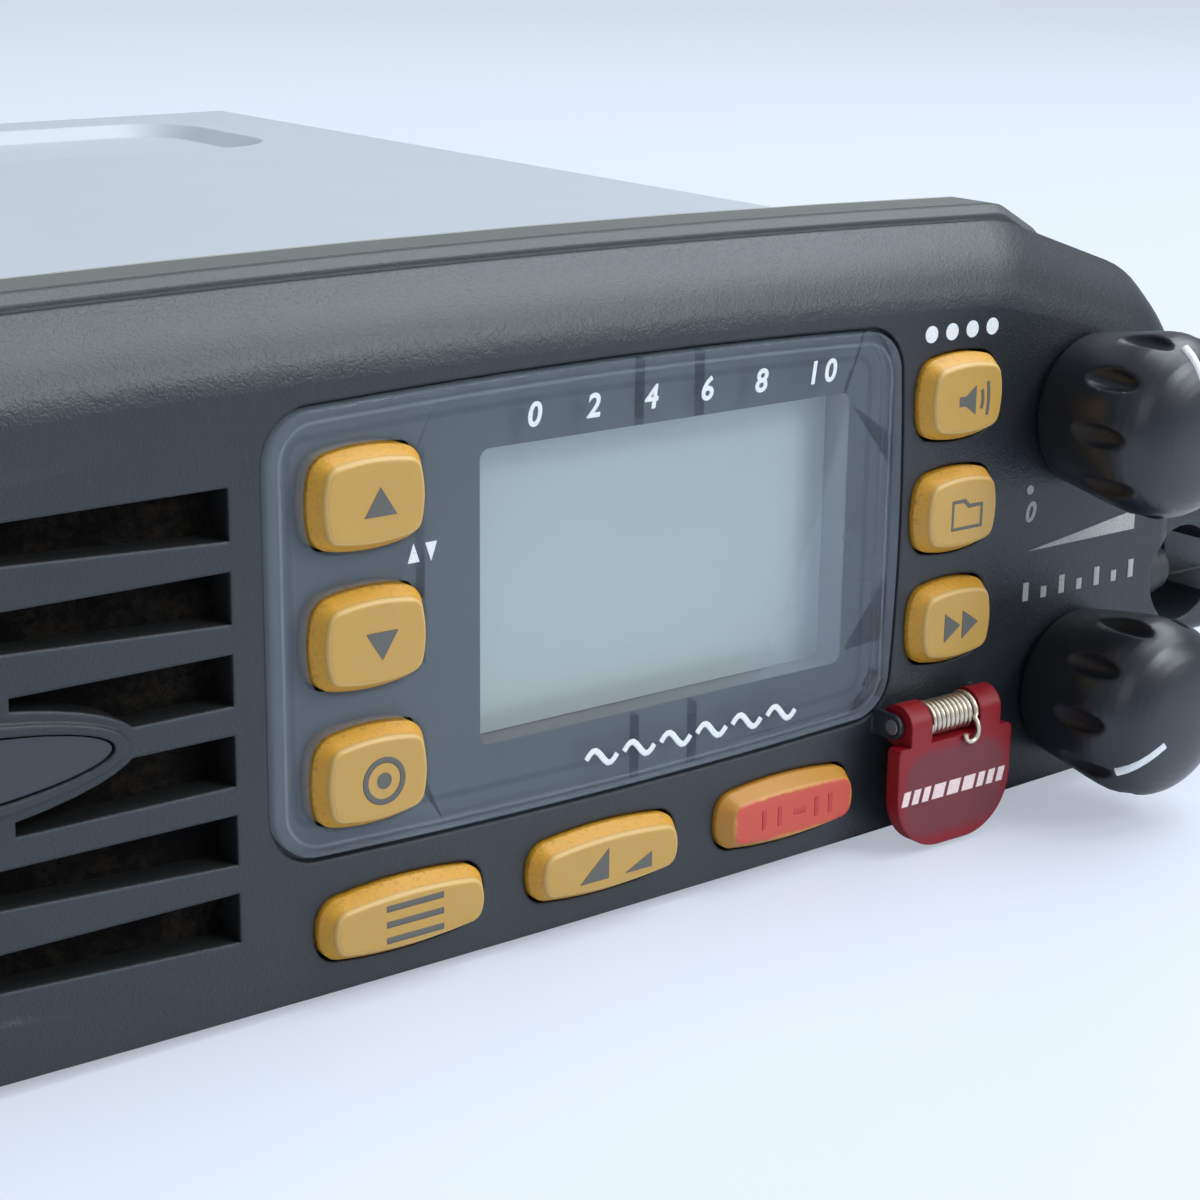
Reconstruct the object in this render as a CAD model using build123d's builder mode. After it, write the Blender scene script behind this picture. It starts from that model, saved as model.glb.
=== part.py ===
"""Fixed-mount VHF marine radio, built piece by piece.

Frame: +X is the user's right, +Y runs back into the radio, +Z is up. The origin is the middle of
the whole radio's footprint, on the surface that it rests on. In this file x counts from the middle
of the front face. Depths count back from that flat face, so a negative depth is in front of it.
Lengths are in millimetres.
"""
from build123d import *
from math import asin, cos, pi, sin, sqrt
import os

# ---------------------------------------------------------------- driving dimensions
# Front face, crown and rear flange of the front unit, seen from the front
face_half_width = 93.4
face_bottom = 1.0
face_top = 54.2                   # height where the shoulders start
face_shoulder = (27.4, 6.7)       # the shoulder's run to the side, and its drop
face_corner = 10.5
face_low_corner = 8.0
crown_flare = 5.4                 # how far the widest line stands outside the flat face
crown_bottom = 0.0
crown_top = 61.45
crown_shoulder = (25.9, 8.85)
crown_corner = 14.5
crown_low_corner = 11.0
shoulder_blend = 16.0             # radius between the top edge and the sloping shoulder
top_bow = 1.3                     # the top edge is highest in the middle
bottom_bow = 1.3                  # the bottom edge is lowest in the middle
crown_depth = 6.6                 # front face back to the crown's widest line
crown_steps = 3                   # stretches between the sections of the curved slope
flange_inset = 16.8               # flange's end inside the crown's widest line
flange_top = 62.8
flange_shoulder = (7.5, 4.2)
flange_bottom = 1.6
flange_corner = 5.0
flange_blend = 4.0                # between the flange's top and its sloping shoulder
flange_lip = 1.4                  # bezel's own part of the flange
lip_slope = 0.8                   # how much lower the lip is at its front
bezel_depth = 8.8
front_seal = 0.6
housing_depth = 5.6
housing_back = 2.5
housing_step = 0.5                # rear housing stands inside the bezel's outline
side_wall = 2.6
floor_wall = 1.6
face_wall = 3.2
cavity_top = 53.1
cavity_shoulder = (24.8, 6.7)
cavity_corner = 7.9
cavity_low_corner = 5.4

# Speaker grille
grille_from_side = 39.4
grille_half_length = 32.4
slot_count = 6
slot_top = 47.8
slot_pitch = 7.05
slot_height = 4.5
slot_waist = 2.8                  # slot height at the grille's middle
badge_z = 28.0
ring_half = (22.6, 4.3)           # raised oval ring, half length and half height
ring_proud = 0.5
ring_moat = 1.1                   # face between the ring and the slots beside it
ring_slot_end = 12.5              # the slots beside the ring stop this far from its middle
badge_half = (21.0, 3.1)
badge_thickness = 1.1
badge_recess = 0.8
badge_gap = 0.25

# Display
lens_from_grille = 3.5
lens_from_keys = 8.1              # from the lens to the middle of the keys at its right
lens_bottom = 14.2
lens_top = 53.1
lens_bow = (0.9, 0.8)             # bow of the right end, and of the top and bottom
lens_corner = 4.4
lens_gap = 0.45
lens_proud = 0.3
lens_thickness = 1.4
mask_thickness = 0.2
window_inset = (22.0, 5.3)        # from the lens's left and right ends
window_bottom = 20.1
window_top = 47.4
window_corner = 1.0
holder_wall = 1.2
holder_relief = 0.5               # the holder's walls stand back from the window's edge
holder_gap = 0.15
lcd_depth = 4.9
lcd_thickness = 1.6
fit_gap = 0.1

# Keys: cap sizes, places and travel
lens_key = (11.6, 9.0)
lens_key_inset = 9.4
lens_key_z = 45.2
lens_key_pitch = 12.3
row_key_height = 6.7
row_key_space = 5.1               # between two keys of the row
row_inset = (3.95, 4.75)          # outer ends of the row of keys, from the lens's ends
row_key_z = 6.95
mode_key = (10.9, 8.7)
mode_key_from_knob = 19.0
mode_key_z = 45.7
mode_key_pitch = 11.6
distress_key = (8.6, 5.6)
distress_from_keys = 2.5
distress_z = 6.6
key_proud = 2.0
distress_key_proud = 1.3
key_gap = 0.3
key_bow = 0.7
key_corner = 2.2
key_edge = 0.45
key_draft = 1.0                   # a key's face is this much smaller than its foot all round
key_face_bow = 0.5
key_flange = 1.0
key_flange_thickness = 1.0
key_seat_gap = 0.15
key_stem = 0.5
key_travel = 0.8
key_reserve = 0.2
dome_radius = 2.6
dome_height = 0.9
mat_thickness = 1.2
mat_margin = 1.0
board_thickness = 1.6
board_gap = 0.5

# Knobs and potentiometers
knob_from_side = 13.6
volume_z = 42.2
squelch_z = 12.5
knob_base = 8.0                   # the side flares from the base to the rim
knob_rim = 10.5
knob_clearance = 0.6
knob_length = 16.4
knob_cap = 1.4                    # rise of the domed end
knob_round = 6.2                  # blend between the domed end and the side
knob_edge = 0.5
knob_dimples = 10
dimple_radius = 1.5
dimple_length = 6.5
dimple_floor = 8.7                # radius that the dimples reach down to
shaft_radius = 3.0
shaft_bore_gap = 0.05
knob_bore_gap = 0.02
bush_radius = 3.9
bush_proud = 2.2
nut_flats = 10.0
nut_thickness = 1.6
washer_thickness = 0.4
washer_radius = 5.4
knob_hollow = 6.3
pot_size = 9.6
pot_depth = 3.6
pot_floor = 1.0

# Distress cover and its hinge
cover_width = 15.8
cover_top = 11.7
cover_bottom = 0.6
cover_corner = 6.0
cover_top_corner = 0.5
cover_thickness = 1.7
hinge_depth = -2.8
hinge_z = 13.5
ear_radius = 2.2
left_ear = (-6.3, -3.5)           # ear ends, from the cover's middle
right_ear = (3.3, 6.2)
pin_radius = 0.8
pin_gap = 0.06
hinge_boss_radius = 1.3
hinge_boss_gap = 0.2
hinge_boss_width = 0.6            # keeps the left boss clear of the lens's corner
spring_radius = 1.75
spring_wire = 0.35
spring_leg = 2.4                  # how far the leg reaches below the hinge line
spring_gap = 0.12
spring_drop = 0.6

# Speaker
speaker_radius = 24.0
cloth_thickness = 0.4
cloth_margin = 2.0
speaker_rim = 1.3
magnet_radius = 11.0
magnet_thickness = 2.6
magnet_gap = 0.3                  # from the magnet to the housing's rear wall
cone_thickness = 0.4
cone_inset = 3.0
cone_gap = 0.3
cone_surround = 1.1
cone_neck = 5.0
cone_rise = 2.6                   # from the cone's middle to the magnet
frame_wall = 0.8
frame_hole = 7.0

# Boss on the right end, with the microphone cord's gland in its recess
cord_boss_reach = 11.3
cord_boss_root = 8.0              # how far the boss reaches into the bezel
cord_boss_height = 14.8
cord_boss_corner = 5.0
cord_boss_front = 0.4
cord_boss_round = 1.2
recess_radius = 5.4
recess_wall = 7.2                 # between the recess and the boss's end
recess_floor = 0.8
gland_z = 21.4
gland_radius = 3.2
gland_depth = 4.4
gland_seat_gap = 0.1
cord_bore = 2.0
gland_wall = 0.8
gland_nozzle = 1.6                # what stands out in front of the gland's flange

# Case, behind the front unit
case_from_side = 24.4             # case's side, from the face's side
case_bottom = 3.6
case_top = 60.0
case_corner = 3.0
case_wall = 2.6
case_seal = 0.8
case_rear = 156.0
rest_rib = (6.0, 50.0)            # underside rib: width, and distance from the middle
rest_rib_span = (24.0, 150.0)
panel_depth = 1.6                 # bare sunk panel in the top
panel_size = (106.0, 32.0, 9.0)   # width, length and corner
panel_slope = 2.4                 # run of its sloping sides
panel_middle = 131.0
case_mouth = (11.0, 9.8)          # opening in the front housing, from the case's sides and ends
case_boss_from_side = 6.4
case_boss_inset = 9.8
case_boss_radius = 3.2
case_boss_length = 12.0
bracket_depth = 72.0
bracket_z = 31.8
bracket_boss_radius = 7.0
bracket_boss_length = 8.0
insert_radius = 4.0
insert_length = 9.0
insert_proud = 0.5
insert_bore = 2.1                 # tapping size of an M5 thread
rail_width = 5.0
rail_thickness = 3.0
rail_top = 14.0

# Rear end
plate_inset = 1.0
plate_thickness = 3.0
fin_height = 8.0
fin_thickness = 2.0
fin_pitch = 6.2
fin_count = 13
fin_first_x = -17.0
fin_margin = 6.0
socket_from_side = 23.0           # from the case's left side
socket_z = 41.0
socket_flange = 22.0
socket_flange_thickness = 2.0
socket_thread_radius = 7.9        # 5/8-24 thread
socket_length = 12.0
socket_body = 5.6                 # the part of the socket that goes through the plate
socket_wall = 1.0
socket_screw = (1.5, 2.4, 1.4)    # shank radius, head radius and head height
socket_screw_inset = 3.0
insulator_inset = 2.0
contact_inset = 1.0
contact_tail = 6.0                # contact's reach into the case
contact_radius = 2.6
contact_bore = 2.0
power_gland_from_side = 17.0
power_gland_z = 16.0
power_gland_radius = 6.0
signal_gland_from_side = (33.0, 42.0)
signal_gland_radius = 3.6
gland_flange = 1.4
gland_lip = 2.2
lead_wall = 1.2                   # rubber between a lead and the plate's hole

# Fasteners
screw_radius = 1.5
screw_head_radius = 2.6
screw_head = 1.6
screw_gap = 0.06
screw_hole_gap = 0.2
screw_bite = 3.8                  # how far a housing screw goes into the bezel
screw_reserve = 3.0               # depth of a case boss that its screw leaves free
screw_recess = 0.6                # room round a screw's head in the heat sink's fins
boss_wall = 1.2
low_screw_place = (21.4, 5.0)     # from the face's side, and height
high_screw_place = (19.4, 54.6)

# Electronics in the case; x ranges, and depths counted from the main board's front or rear edge
board_clearance = 1.0             # from the board's ends to the screw bosses, and to the case
board_screw = (1.2, 2.2, 1.2)     # shank radius, head radius and head height
board_screw_inset = 6.0
can_wall = 0.5
rf_can = (60.0, 50.0, 12.0)       # width, length and height
rf_can_place = (21.0, 73.0)       # x, and depth behind the board's front edge
synthesizer_can = (32.0, 34.0, 10.0)
synthesizer_place = (-34.0, 71.0)
module_size = (62.0, 10.0)        # width and height
module_x = 21.0
module_reach = 9.0                # from the plate forwards
module_lift = 2.0
capacitor_radius = 5.5
capacitor_height = 18.0
capacitor_first_x = -50.0
capacitor_pitch = 14.0
capacitor_count = 3
capacitor_setback = 22.0
coil_size = 7.0
coil_height = 9.0
coil_first_x = 3.5
coil_pitch = 10.0
coil_count = 5
coil_setback = 29.5
ribbon_x = -2.0
ribbon_width = 28.0
ribbon_thickness = 0.5
ribbon_rise = 12.0                # above the mouth's lower edge
ribbon_reach = 12.0               # behind the board's front edge

# ---------------------------------------------------------------- places worked out from these
crown_half_width = face_half_width + crown_flare
flange_half_width = crown_half_width - flange_inset
grille_x = grille_from_side - face_half_width
knob_x = face_half_width - knob_from_side
mode_key_x = knob_x - mode_key_from_knob
distress_x = mode_key_x - distress_from_keys
lens_left = grille_x + grille_half_length + lens_from_grille
lens_right = mode_key_x - lens_from_keys
window_left = lens_left + window_inset[0]
window_right = lens_right - window_inset[1]
lens_key_x = lens_left + lens_key_inset
row_length = lens_right - row_inset[1] - (lens_left + row_inset[0])
row_key = ((row_length - 2 * row_key_space) / 3, row_key_height)
row_key_x = lens_left + row_inset[0] + row_key[0] / 2
row_key_pitch = row_key[0] + row_key_space
low_screw = (face_half_width - low_screw_place[0], low_screw_place[1])
high_screw = (face_half_width - high_screw_place[0], high_screw_place[1])
cord_boss_end = crown_half_width + cord_boss_reach
recess_x = cord_boss_end - recess_wall - recess_radius
gland_x = recess_x - sqrt(recess_radius ** 2 - gland_radius ** 2) + gland_seat_gap
face_x = -cord_boss_reach / 2
case_half_width = face_half_width - case_from_side
case_boss_x = case_half_width - case_boss_from_side
mouth_half = case_half_width - case_mouth[0]
socket_x = socket_from_side - case_half_width
power_gland_x = power_gland_from_side - case_half_width
signal_gland_x = [place - case_half_width for place in signal_gland_from_side]

lens_recess = lens_thickness - lens_proud + mask_thickness
key_front = face_wall + key_seat_gap
key_back = key_front + key_flange_thickness + key_stem
dome_front = key_back + key_travel + key_reserve
mat_front = dome_front + dome_height
board_front = mat_front + mat_thickness
board_back = board_front + board_thickness
housing_front = bezel_depth + front_seal
housing_rear = housing_front + housing_depth
wall_front = housing_rear - housing_back
case_front = housing_rear + case_seal
plate_front = case_rear + case_seal
plate_rear = plate_front + plate_thickness
socket_tip = plate_rear + socket_flange_thickness + socket_length
knob_tip = -(knob_clearance + knob_length)
face_y = -(knob_tip + socket_tip) / 2

case_inner = case_half_width - case_wall
case_floor = case_bottom + case_wall
case_roof = case_top - case_wall
case_boss_low = case_bottom + case_boss_inset
case_boss_high = case_top - case_boss_inset
case_bosses = [(x, z) for x in (-case_boss_x, case_boss_x) for z in (case_boss_low, case_boss_high)]
low_screws = [(-low_screw[0], low_screw[1]), low_screw]
high_screws = [(-high_screw[0], high_screw[1]), high_screw]
housing_screws_at = low_screws + high_screws
boss_radius = screw_radius + boss_wall

lens_key_places = {
    "key_up": (lens_key_x, lens_key_z),
    "key_down": (lens_key_x, lens_key_z - lens_key_pitch),
    "key_select": (lens_key_x, lens_key_z - 2 * lens_key_pitch),
}
row_key_places = {
    "key_menu": (row_key_x, row_key_z),
    "key_power_level": (row_key_x + row_key_pitch, row_key_z),
    "key_quick_channel": (row_key_x + 2 * row_key_pitch, row_key_z),
}
mode_key_places = {
    "key_hailer": (mode_key_x, mode_key_z),
    "key_memory": (mode_key_x, mode_key_z - mode_key_pitch),
    "key_scan": (mode_key_x, mode_key_z - 2 * mode_key_pitch),
}
key_plan = {}
for places, size in ((lens_key_places, lens_key), (row_key_places, row_key),
                     (mode_key_places, mode_key)):
    for key_name, place in places.items():
        key_plan[key_name] = (place, size, key_proud)
key_plan["distress_button"] = ((distress_x, distress_z), distress_key, distress_key_proud)
knob_places = {"volume": volume_z, "squelch": squelch_z}

os.makedirs("parts", exist_ok=True)


# ---------------------------------------------------------------- helpers
def front_plane(depth):
    """Plane parallel to the face, looking out at the user: X right, Y up."""
    return Plane(origin=(face_x, face_y + depth, 0), x_dir=(1, 0, 0), z_dir=(0, -1, 0))


def side_plane(x):
    """Plane across X, with depth to its right and height up; it extrudes to +X."""
    return Plane(origin=(face_x + x, face_y, 0), x_dir=(0, 1, 0), z_dir=(1, 0, 0))


def block(x, depth, z, mode=Mode.ADD):
    """Box between the ends given for x, depth and z."""
    middle = (face_x + (x[0] + x[1]) / 2, face_y + (depth[0] + depth[1]) / 2, (z[0] + z[1]) / 2)
    with Locations(middle):
        Box(x[1] - x[0], depth[1] - depth[0], z[1] - z[0], mode=mode)


def rod(x, z, radius, depth, mode=Mode.ADD):
    """Cylinder along the depth axis, between the two depths given."""
    with Locations(Location((face_x + x, face_y + (depth[0] + depth[1]) / 2, z), (90, 0, 0))):
        Cylinder(radius, depth[1] - depth[0], mode=mode)


def crossrod(x, depth, z, radius, mode=Mode.ADD):
    """Cylinder along X, between the two ends given for x."""
    with Locations(Location((face_x + (x[0] + x[1]) / 2, face_y + depth, z), (0, 90, 0))):
        Cylinder(radius, x[1] - x[0], mode=mode)


def shouldered(half_width, bottom, top, shoulder, corner, low_corner, inset=0.0,
               blend=shoulder_blend):
    """Outline of the front unit: bowed top, sloping shoulders, bowed bottom."""
    side = half_width - inset
    start = side - shoulder[0]
    low = bottom + inset
    high = top - inset
    elbow = high - shoulder[1]
    with BuildSketch() as outline:
        with BuildLine():
            ThreePointArc((-start, high), (0, high + top_bow), (start, high))
            Polyline((start, high), (side, elbow), (side, low + bottom_bow))
            ThreePointArc((side, low + bottom_bow), (0, low), (-side, low + bottom_bow))
            Polyline((-side, low + bottom_bow), (-side, elbow), (-start, high))
        make_face()
        fillet(outline.vertices().group_by(Axis.Y)[1], corner - inset)
        fillet(outline.vertices().group_by(Axis.Y)[0], low_corner - inset)
        fillet(outline.vertices().group_by(Axis.Y)[-1], blend)
    return outline.sketch


def slope_outline(share):
    """Outline of the curved slope, from the crown's widest line (0) to the flat face (1)."""
    def between(widest, flat):
        return widest + (flat - widest) * share
    return shouldered(between(crown_half_width, face_half_width), between(crown_bottom, face_bottom),
                      between(crown_top, face_top),
                      (between(crown_shoulder[0], face_shoulder[0]),
                       between(crown_shoulder[1], face_shoulder[1])),
                      between(crown_corner, face_corner), between(crown_low_corner, face_low_corner))


def bowed(width, height, bow_x, bow_z, corner):
    """Rounded rectangle whose four sides bow outwards, centred on its plane."""
    w = width / 2 - bow_x
    h = height / 2 - bow_z
    with BuildSketch() as outline:
        with BuildLine():
            ThreePointArc((-w, h), (0, height / 2), (w, h))
            ThreePointArc((w, h), (width / 2, 0), (w, -h))
            ThreePointArc((w, -h), (0, -height / 2), (-w, -h))
            ThreePointArc((-w, -h), (-width / 2, 0), (-w, h))
        make_face()
        fillet(outline.vertices(), corner)
    return outline.sketch


def lens_outline(grow, corner):
    """Lens outline: straight left end, the other three sides bowed."""
    left = lens_left - grow
    right = lens_right + grow
    low = lens_bottom - grow
    high = lens_top + grow
    middle = (left + right) / 2
    with BuildSketch() as outline:
        with BuildLine():
            ThreePointArc((left, high), (middle, high + lens_bow[1]), (right, high))
            ThreePointArc((right, high), (right + lens_bow[0], (low + high) / 2), (right, low))
            ThreePointArc((right, low), (middle, low - lens_bow[1]), (left, low))
            Line((left, low), (left, high))
        make_face()
        fillet(outline.vertices(), corner)
    return outline.sketch


def window_outline(grow, corner):
    """Window of the display, grown by the same amount on all sides."""
    width = window_right - window_left + 2 * grow
    height = window_top - window_bottom + 2 * grow
    with BuildSketch() as outline:
        with Locations(((window_left + window_right) / 2, (window_bottom + window_top) / 2)):
            RectangleRounded(width, height, corner)
    return outline.sketch


def case_outline(inset):
    """Cross-section of the case, seen from the front."""
    with BuildSketch() as outline:
        with Locations((0, (case_bottom + case_top) / 2)):
            RectangleRounded(2 * (case_half_width - inset), case_top - case_bottom - 2 * inset,
                             case_corner - inset if inset < case_corner else case_corner / 3)
    return outline.sketch


def slot_outlines():
    """Six tapering grille slots; the middle two are parted by the badge's oval."""
    with BuildSketch() as outline:
        for index in range(slot_count):
            top = slot_top - index * slot_pitch
            beside_badge = abs(top - slot_height / 2 - badge_z) < slot_pitch
            ends = [(-1, 1)] if not beside_badge else [(-1, -1), (1, 1)]
            for first, last in ends:
                inner = 0.0 if first != last else ring_slot_end
                if first != last:
                    points = [(-grille_half_length, top), (grille_half_length, top),
                              (grille_half_length, top - slot_height), (0, top - slot_waist),
                              (-grille_half_length, top - slot_height)]
                else:
                    points = [(first * inner, top), (first * grille_half_length, top),
                              (first * grille_half_length, top - slot_height),
                              (first * inner, top - slot_height)]
                with BuildLine():
                    Polyline(*[(grille_x + px, pz) for px, pz in points], close=True)
                make_face()
        with Locations((grille_x, badge_z)):
            Ellipse(ring_half[0] + ring_moat, ring_half[1] + ring_moat, mode=Mode.SUBTRACT)
    return outline.sketch


def write(piece, label):
    """Name a finished piece and write it to its own file."""
    piece.part.label = label
    export_step(piece.part, f"parts/{label}.step")


cavity = (face_half_width - side_wall, face_bottom + floor_wall, cavity_top, cavity_shoulder,
          cavity_corner, cavity_low_corner)
cavity_outline = shouldered(*cavity)
board_outline = shouldered(*cavity, inset=board_gap)
crown_outline = slope_outline(0)
housing_outline = shouldered(crown_half_width, crown_bottom, crown_top, crown_shoulder,
                             crown_corner, crown_low_corner, inset=housing_step)
flange = (flange_half_width, flange_bottom, flange_top, flange_shoulder, flange_corner, flange_corner)
flange_outline = shouldered(*flange, blend=flange_blend)
lip_outline = shouldered(*flange, inset=lip_slope, blend=flange_blend)
key_faces = {name: bowed(size[0], size[1], key_bow, key_bow, key_corner)
             for name, (place, size, proud) in key_plan.items()}
key_tops = {name: bowed(size[0] - 2 * key_draft, size[1] - 2 * key_draft, key_face_bow, key_face_bow,
                        key_corner - key_draft)
            for name, (place, size, proud) in key_plan.items()}
key_holes = {name: bowed(size[0] + 2 * key_gap, size[1] + 2 * key_gap, key_bow, key_bow,
                         key_corner + key_gap)
             for name, (place, size, proud) in key_plan.items()}
slots = slot_outlines()
mouth_low = case_bottom + case_mouth[1] - case_wall
mouth_high = case_top - case_mouth[1] + case_wall

# ---------------------------------------------------------------- front bezel
boss_left = (distress_x + left_ear[0] - hinge_boss_gap - hinge_boss_width,
             distress_x + left_ear[0] - hinge_boss_gap)
boss_right = (distress_x + right_ear[1] + hinge_boss_gap,
              distress_x + right_ear[1] + hinge_boss_gap + hinge_boss_width)

with BuildPart() as cord_boss:
    with BuildSketch(front_plane(bezel_depth)):
        with Locations(((crown_half_width - cord_boss_root + cord_boss_end) / 2, gland_z)):
            RectangleRounded(cord_boss_root + cord_boss_reach, cord_boss_height, cord_boss_corner)
    extrude(amount=bezel_depth - cord_boss_front)
    fillet(cord_boss.faces().sort_by(Axis.Y)[0].edges(), cord_boss_round)

with BuildPart() as front_bezel:
    for step in range(crown_steps + 1):
        slope_share = 1 - step / crown_steps
        with BuildSketch(front_plane(crown_depth * (1 - slope_share) ** 2)):
            add(slope_outline(slope_share))
    loft()
    with BuildSketch(front_plane(crown_depth)):
        add(crown_outline)
    extrude(amount=-(bezel_depth - crown_depth))
    with BuildSketch(front_plane(bezel_depth)):
        add(flange_outline)
    with BuildSketch(front_plane(bezel_depth - flange_lip)):
        add(lip_outline)
    loft()
    add(cord_boss.part)
    with BuildSketch(front_plane(bezel_depth)):
        add(cavity_outline)
    extrude(amount=bezel_depth - face_wall, mode=Mode.SUBTRACT)
    # bosses for the housing screws
    for x, z in low_screws:
        rod(x, z, boss_radius, (face_wall, bezel_depth))
    for x, z in housing_screws_at:
        rod(x, z, screw_radius + screw_gap, (bezel_depth - screw_bite - screw_hole_gap, bezel_depth + 1),
            mode=Mode.SUBTRACT)
    # recess for the lens, opening for the display holder
    with BuildSketch(front_plane(0)):
        add(lens_outline(lens_gap, lens_corner + lens_gap))
    extrude(amount=-lens_recess, mode=Mode.SUBTRACT)
    with BuildSketch(front_plane(0)):
        add(window_outline(holder_relief + holder_wall + holder_gap, window_corner))
    extrude(amount=-face_wall, mode=Mode.SUBTRACT)
    # key holes
    with BuildSketch(front_plane(0)):
        for name, (place, size, proud) in key_plan.items():
            with Locations(place):
                add(key_holes[name])
    extrude(amount=-face_wall, mode=Mode.SUBTRACT)
    # grille, oval ring and badge recess
    with BuildSketch(front_plane(0)):
        add(slots)
    extrude(amount=-face_wall, mode=Mode.SUBTRACT)
    with BuildSketch(front_plane(0)):
        with Locations((grille_x, badge_z)):
            Ellipse(*ring_half)
            Ellipse(badge_half[0] + badge_gap, badge_half[1] + badge_gap, mode=Mode.SUBTRACT)
    extrude(amount=ring_proud)
    with BuildSketch(front_plane(0)):
        with Locations((grille_x, badge_z)):
            Ellipse(badge_half[0] + badge_gap, badge_half[1] + badge_gap)
    extrude(amount=-badge_recess, mode=Mode.SUBTRACT)
    # holes for the potentiometer bushes
    for z in knob_places.values():
        rod(knob_x, z, bush_radius + fit_gap, (-1, face_wall + 1), mode=Mode.SUBTRACT)
    # hinge bosses of the distress cover
    for ends in (boss_left, boss_right):
        with BuildSketch(side_plane(ends[0])):
            with BuildLine():
                low = hinge_z - hinge_boss_radius
                high = hinge_z + hinge_boss_radius
                Polyline((hinge_depth, high), (0, high), (0, low), (hinge_depth, low))
                ThreePointArc((hinge_depth, low), (hinge_depth - hinge_boss_radius, hinge_z),
                              (hinge_depth, high))
            make_face()
            with Locations((hinge_depth, hinge_z)):
                Circle(pin_radius + fit_gap / 2, mode=Mode.SUBTRACT)
        extrude(amount=ends[1] - ends[0])
    # recess and hole for the microphone cord's gland, and the cord's way out to the right
    cord_way = cord_bore + gland_wall + fit_gap
    rod(recess_x, gland_z, recess_radius, (-1, bezel_depth - recess_floor), mode=Mode.SUBTRACT)
    crossrod((face_half_width - side_wall - 1, recess_x), gland_depth, gland_z, cord_way,
             mode=Mode.SUBTRACT)
    block((recess_x, cord_boss_end + 1), (-1, gland_depth + cord_way),
          (gland_z - cord_way, gland_z + cord_way), mode=Mode.SUBTRACT)
write(front_bezel, "front_bezel")

# ---------------------------------------------------------------- seal and rear housing of the front unit
with BuildPart() as front_gasket:
    with BuildSketch(front_plane(bezel_depth)):
        add(housing_outline)
        add(cavity_outline, mode=Mode.SUBTRACT)
        with Locations(*housing_screws_at):
            Circle(screw_radius + screw_hole_gap, mode=Mode.SUBTRACT)
    extrude(amount=-front_seal)
write(front_gasket, "front_gasket")

with BuildPart() as front_housing:
    with BuildSketch(front_plane(housing_front)):
        add(housing_outline)
        add(flange_outline)
    extrude(amount=-housing_depth)
    with BuildSketch(front_plane(housing_front)):
        add(cavity_outline)
    extrude(amount=-(housing_depth - housing_back), mode=Mode.SUBTRACT)
    block((-mouth_half, mouth_half), (wall_front - 1, housing_rear + 1), (mouth_low, mouth_high),
          mode=Mode.SUBTRACT)
    for x, z in housing_screws_at + case_bosses:
        rod(x, z, screw_radius + screw_hole_gap, (housing_front - 1, housing_rear + 1),
            mode=Mode.SUBTRACT)
write(front_housing, "front_housing")

with BuildPart() as housing_screws:
    for x, z in housing_screws_at:
        rod(x, z, screw_radius, (bezel_depth - screw_bite, housing_rear))
        rod(x, z, screw_head_radius, (housing_rear, housing_rear + screw_head))
write(housing_screws, "housing_screws")

# ---------------------------------------------------------------- lens and display
with BuildPart() as display_lens:
    with BuildSketch(front_plane(-lens_proud)):
        add(lens_outline(0, lens_corner))
    extrude(amount=-lens_thickness)
    fillet(display_lens.faces().sort_by(Axis.Y)[0].edges(), lens_proud)
    with BuildSketch(front_plane(-lens_proud)):
        for name, place in lens_key_places.items():
            with Locations(place):
                add(key_holes[name])
    extrude(amount=-lens_thickness, mode=Mode.SUBTRACT)
write(display_lens, "display_lens")

with BuildPart() as lens_mask:
    with BuildSketch(front_plane(lens_thickness - lens_proud)):
        add(lens_outline(0, lens_corner))
        add(window_outline(0, window_corner), mode=Mode.SUBTRACT)
        for name, place in lens_key_places.items():
            with Locations(place):
                add(key_holes[name], mode=Mode.SUBTRACT)
    extrude(amount=-mask_thickness)
write(lens_mask, "lens_mask")

with BuildPart() as lcd_holder:
    with BuildSketch(front_plane(lens_recess)):
        add(window_outline(holder_relief + holder_wall, window_corner))
        add(window_outline(holder_relief, window_corner), mode=Mode.SUBTRACT)
    extrude(amount=-(board_front - lens_recess))
write(lcd_holder, "lcd_holder")

with BuildPart() as lcd_glass:
    with BuildSketch(front_plane(lcd_depth)):
        add(window_outline(holder_relief - fit_gap, window_corner))
    extrude(amount=-lcd_thickness)
write(lcd_glass, "lcd_glass")

with BuildPart() as lcd_backlight:
    with BuildSketch(front_plane(lcd_depth + lcd_thickness)):
        add(window_outline(holder_relief - fit_gap, window_corner))
    extrude(amount=-(board_front - lcd_depth - lcd_thickness))
write(lcd_backlight, "lcd_backlight")

# ---------------------------------------------------------------- keys, mat and front board
for name, (place, size, proud) in key_plan.items():
    with BuildPart() as key:
        with BuildSketch(front_plane(key_back)):
            with Locations(place):
                add(key_faces[name])
        extrude(amount=key_back + lens_proud)
        for depth, outline in ((-lens_proud, key_faces[name]), (-proud, key_tops[name])):
            with BuildSketch(front_plane(depth)):
                with Locations(place):
                    add(outline)
        loft(ruled=True)
        cap = key.faces().sort_by(Axis.Y)[0]
        fillet(cap.edges(), key_edge)
        with BuildSketch(front_plane(key_front)):
            with Locations(place):
                Rectangle(size[0] + 2 * key_flange, size[1] - key_corner)
        extrude(amount=-key_flange_thickness)
    write(key, name)

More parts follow.
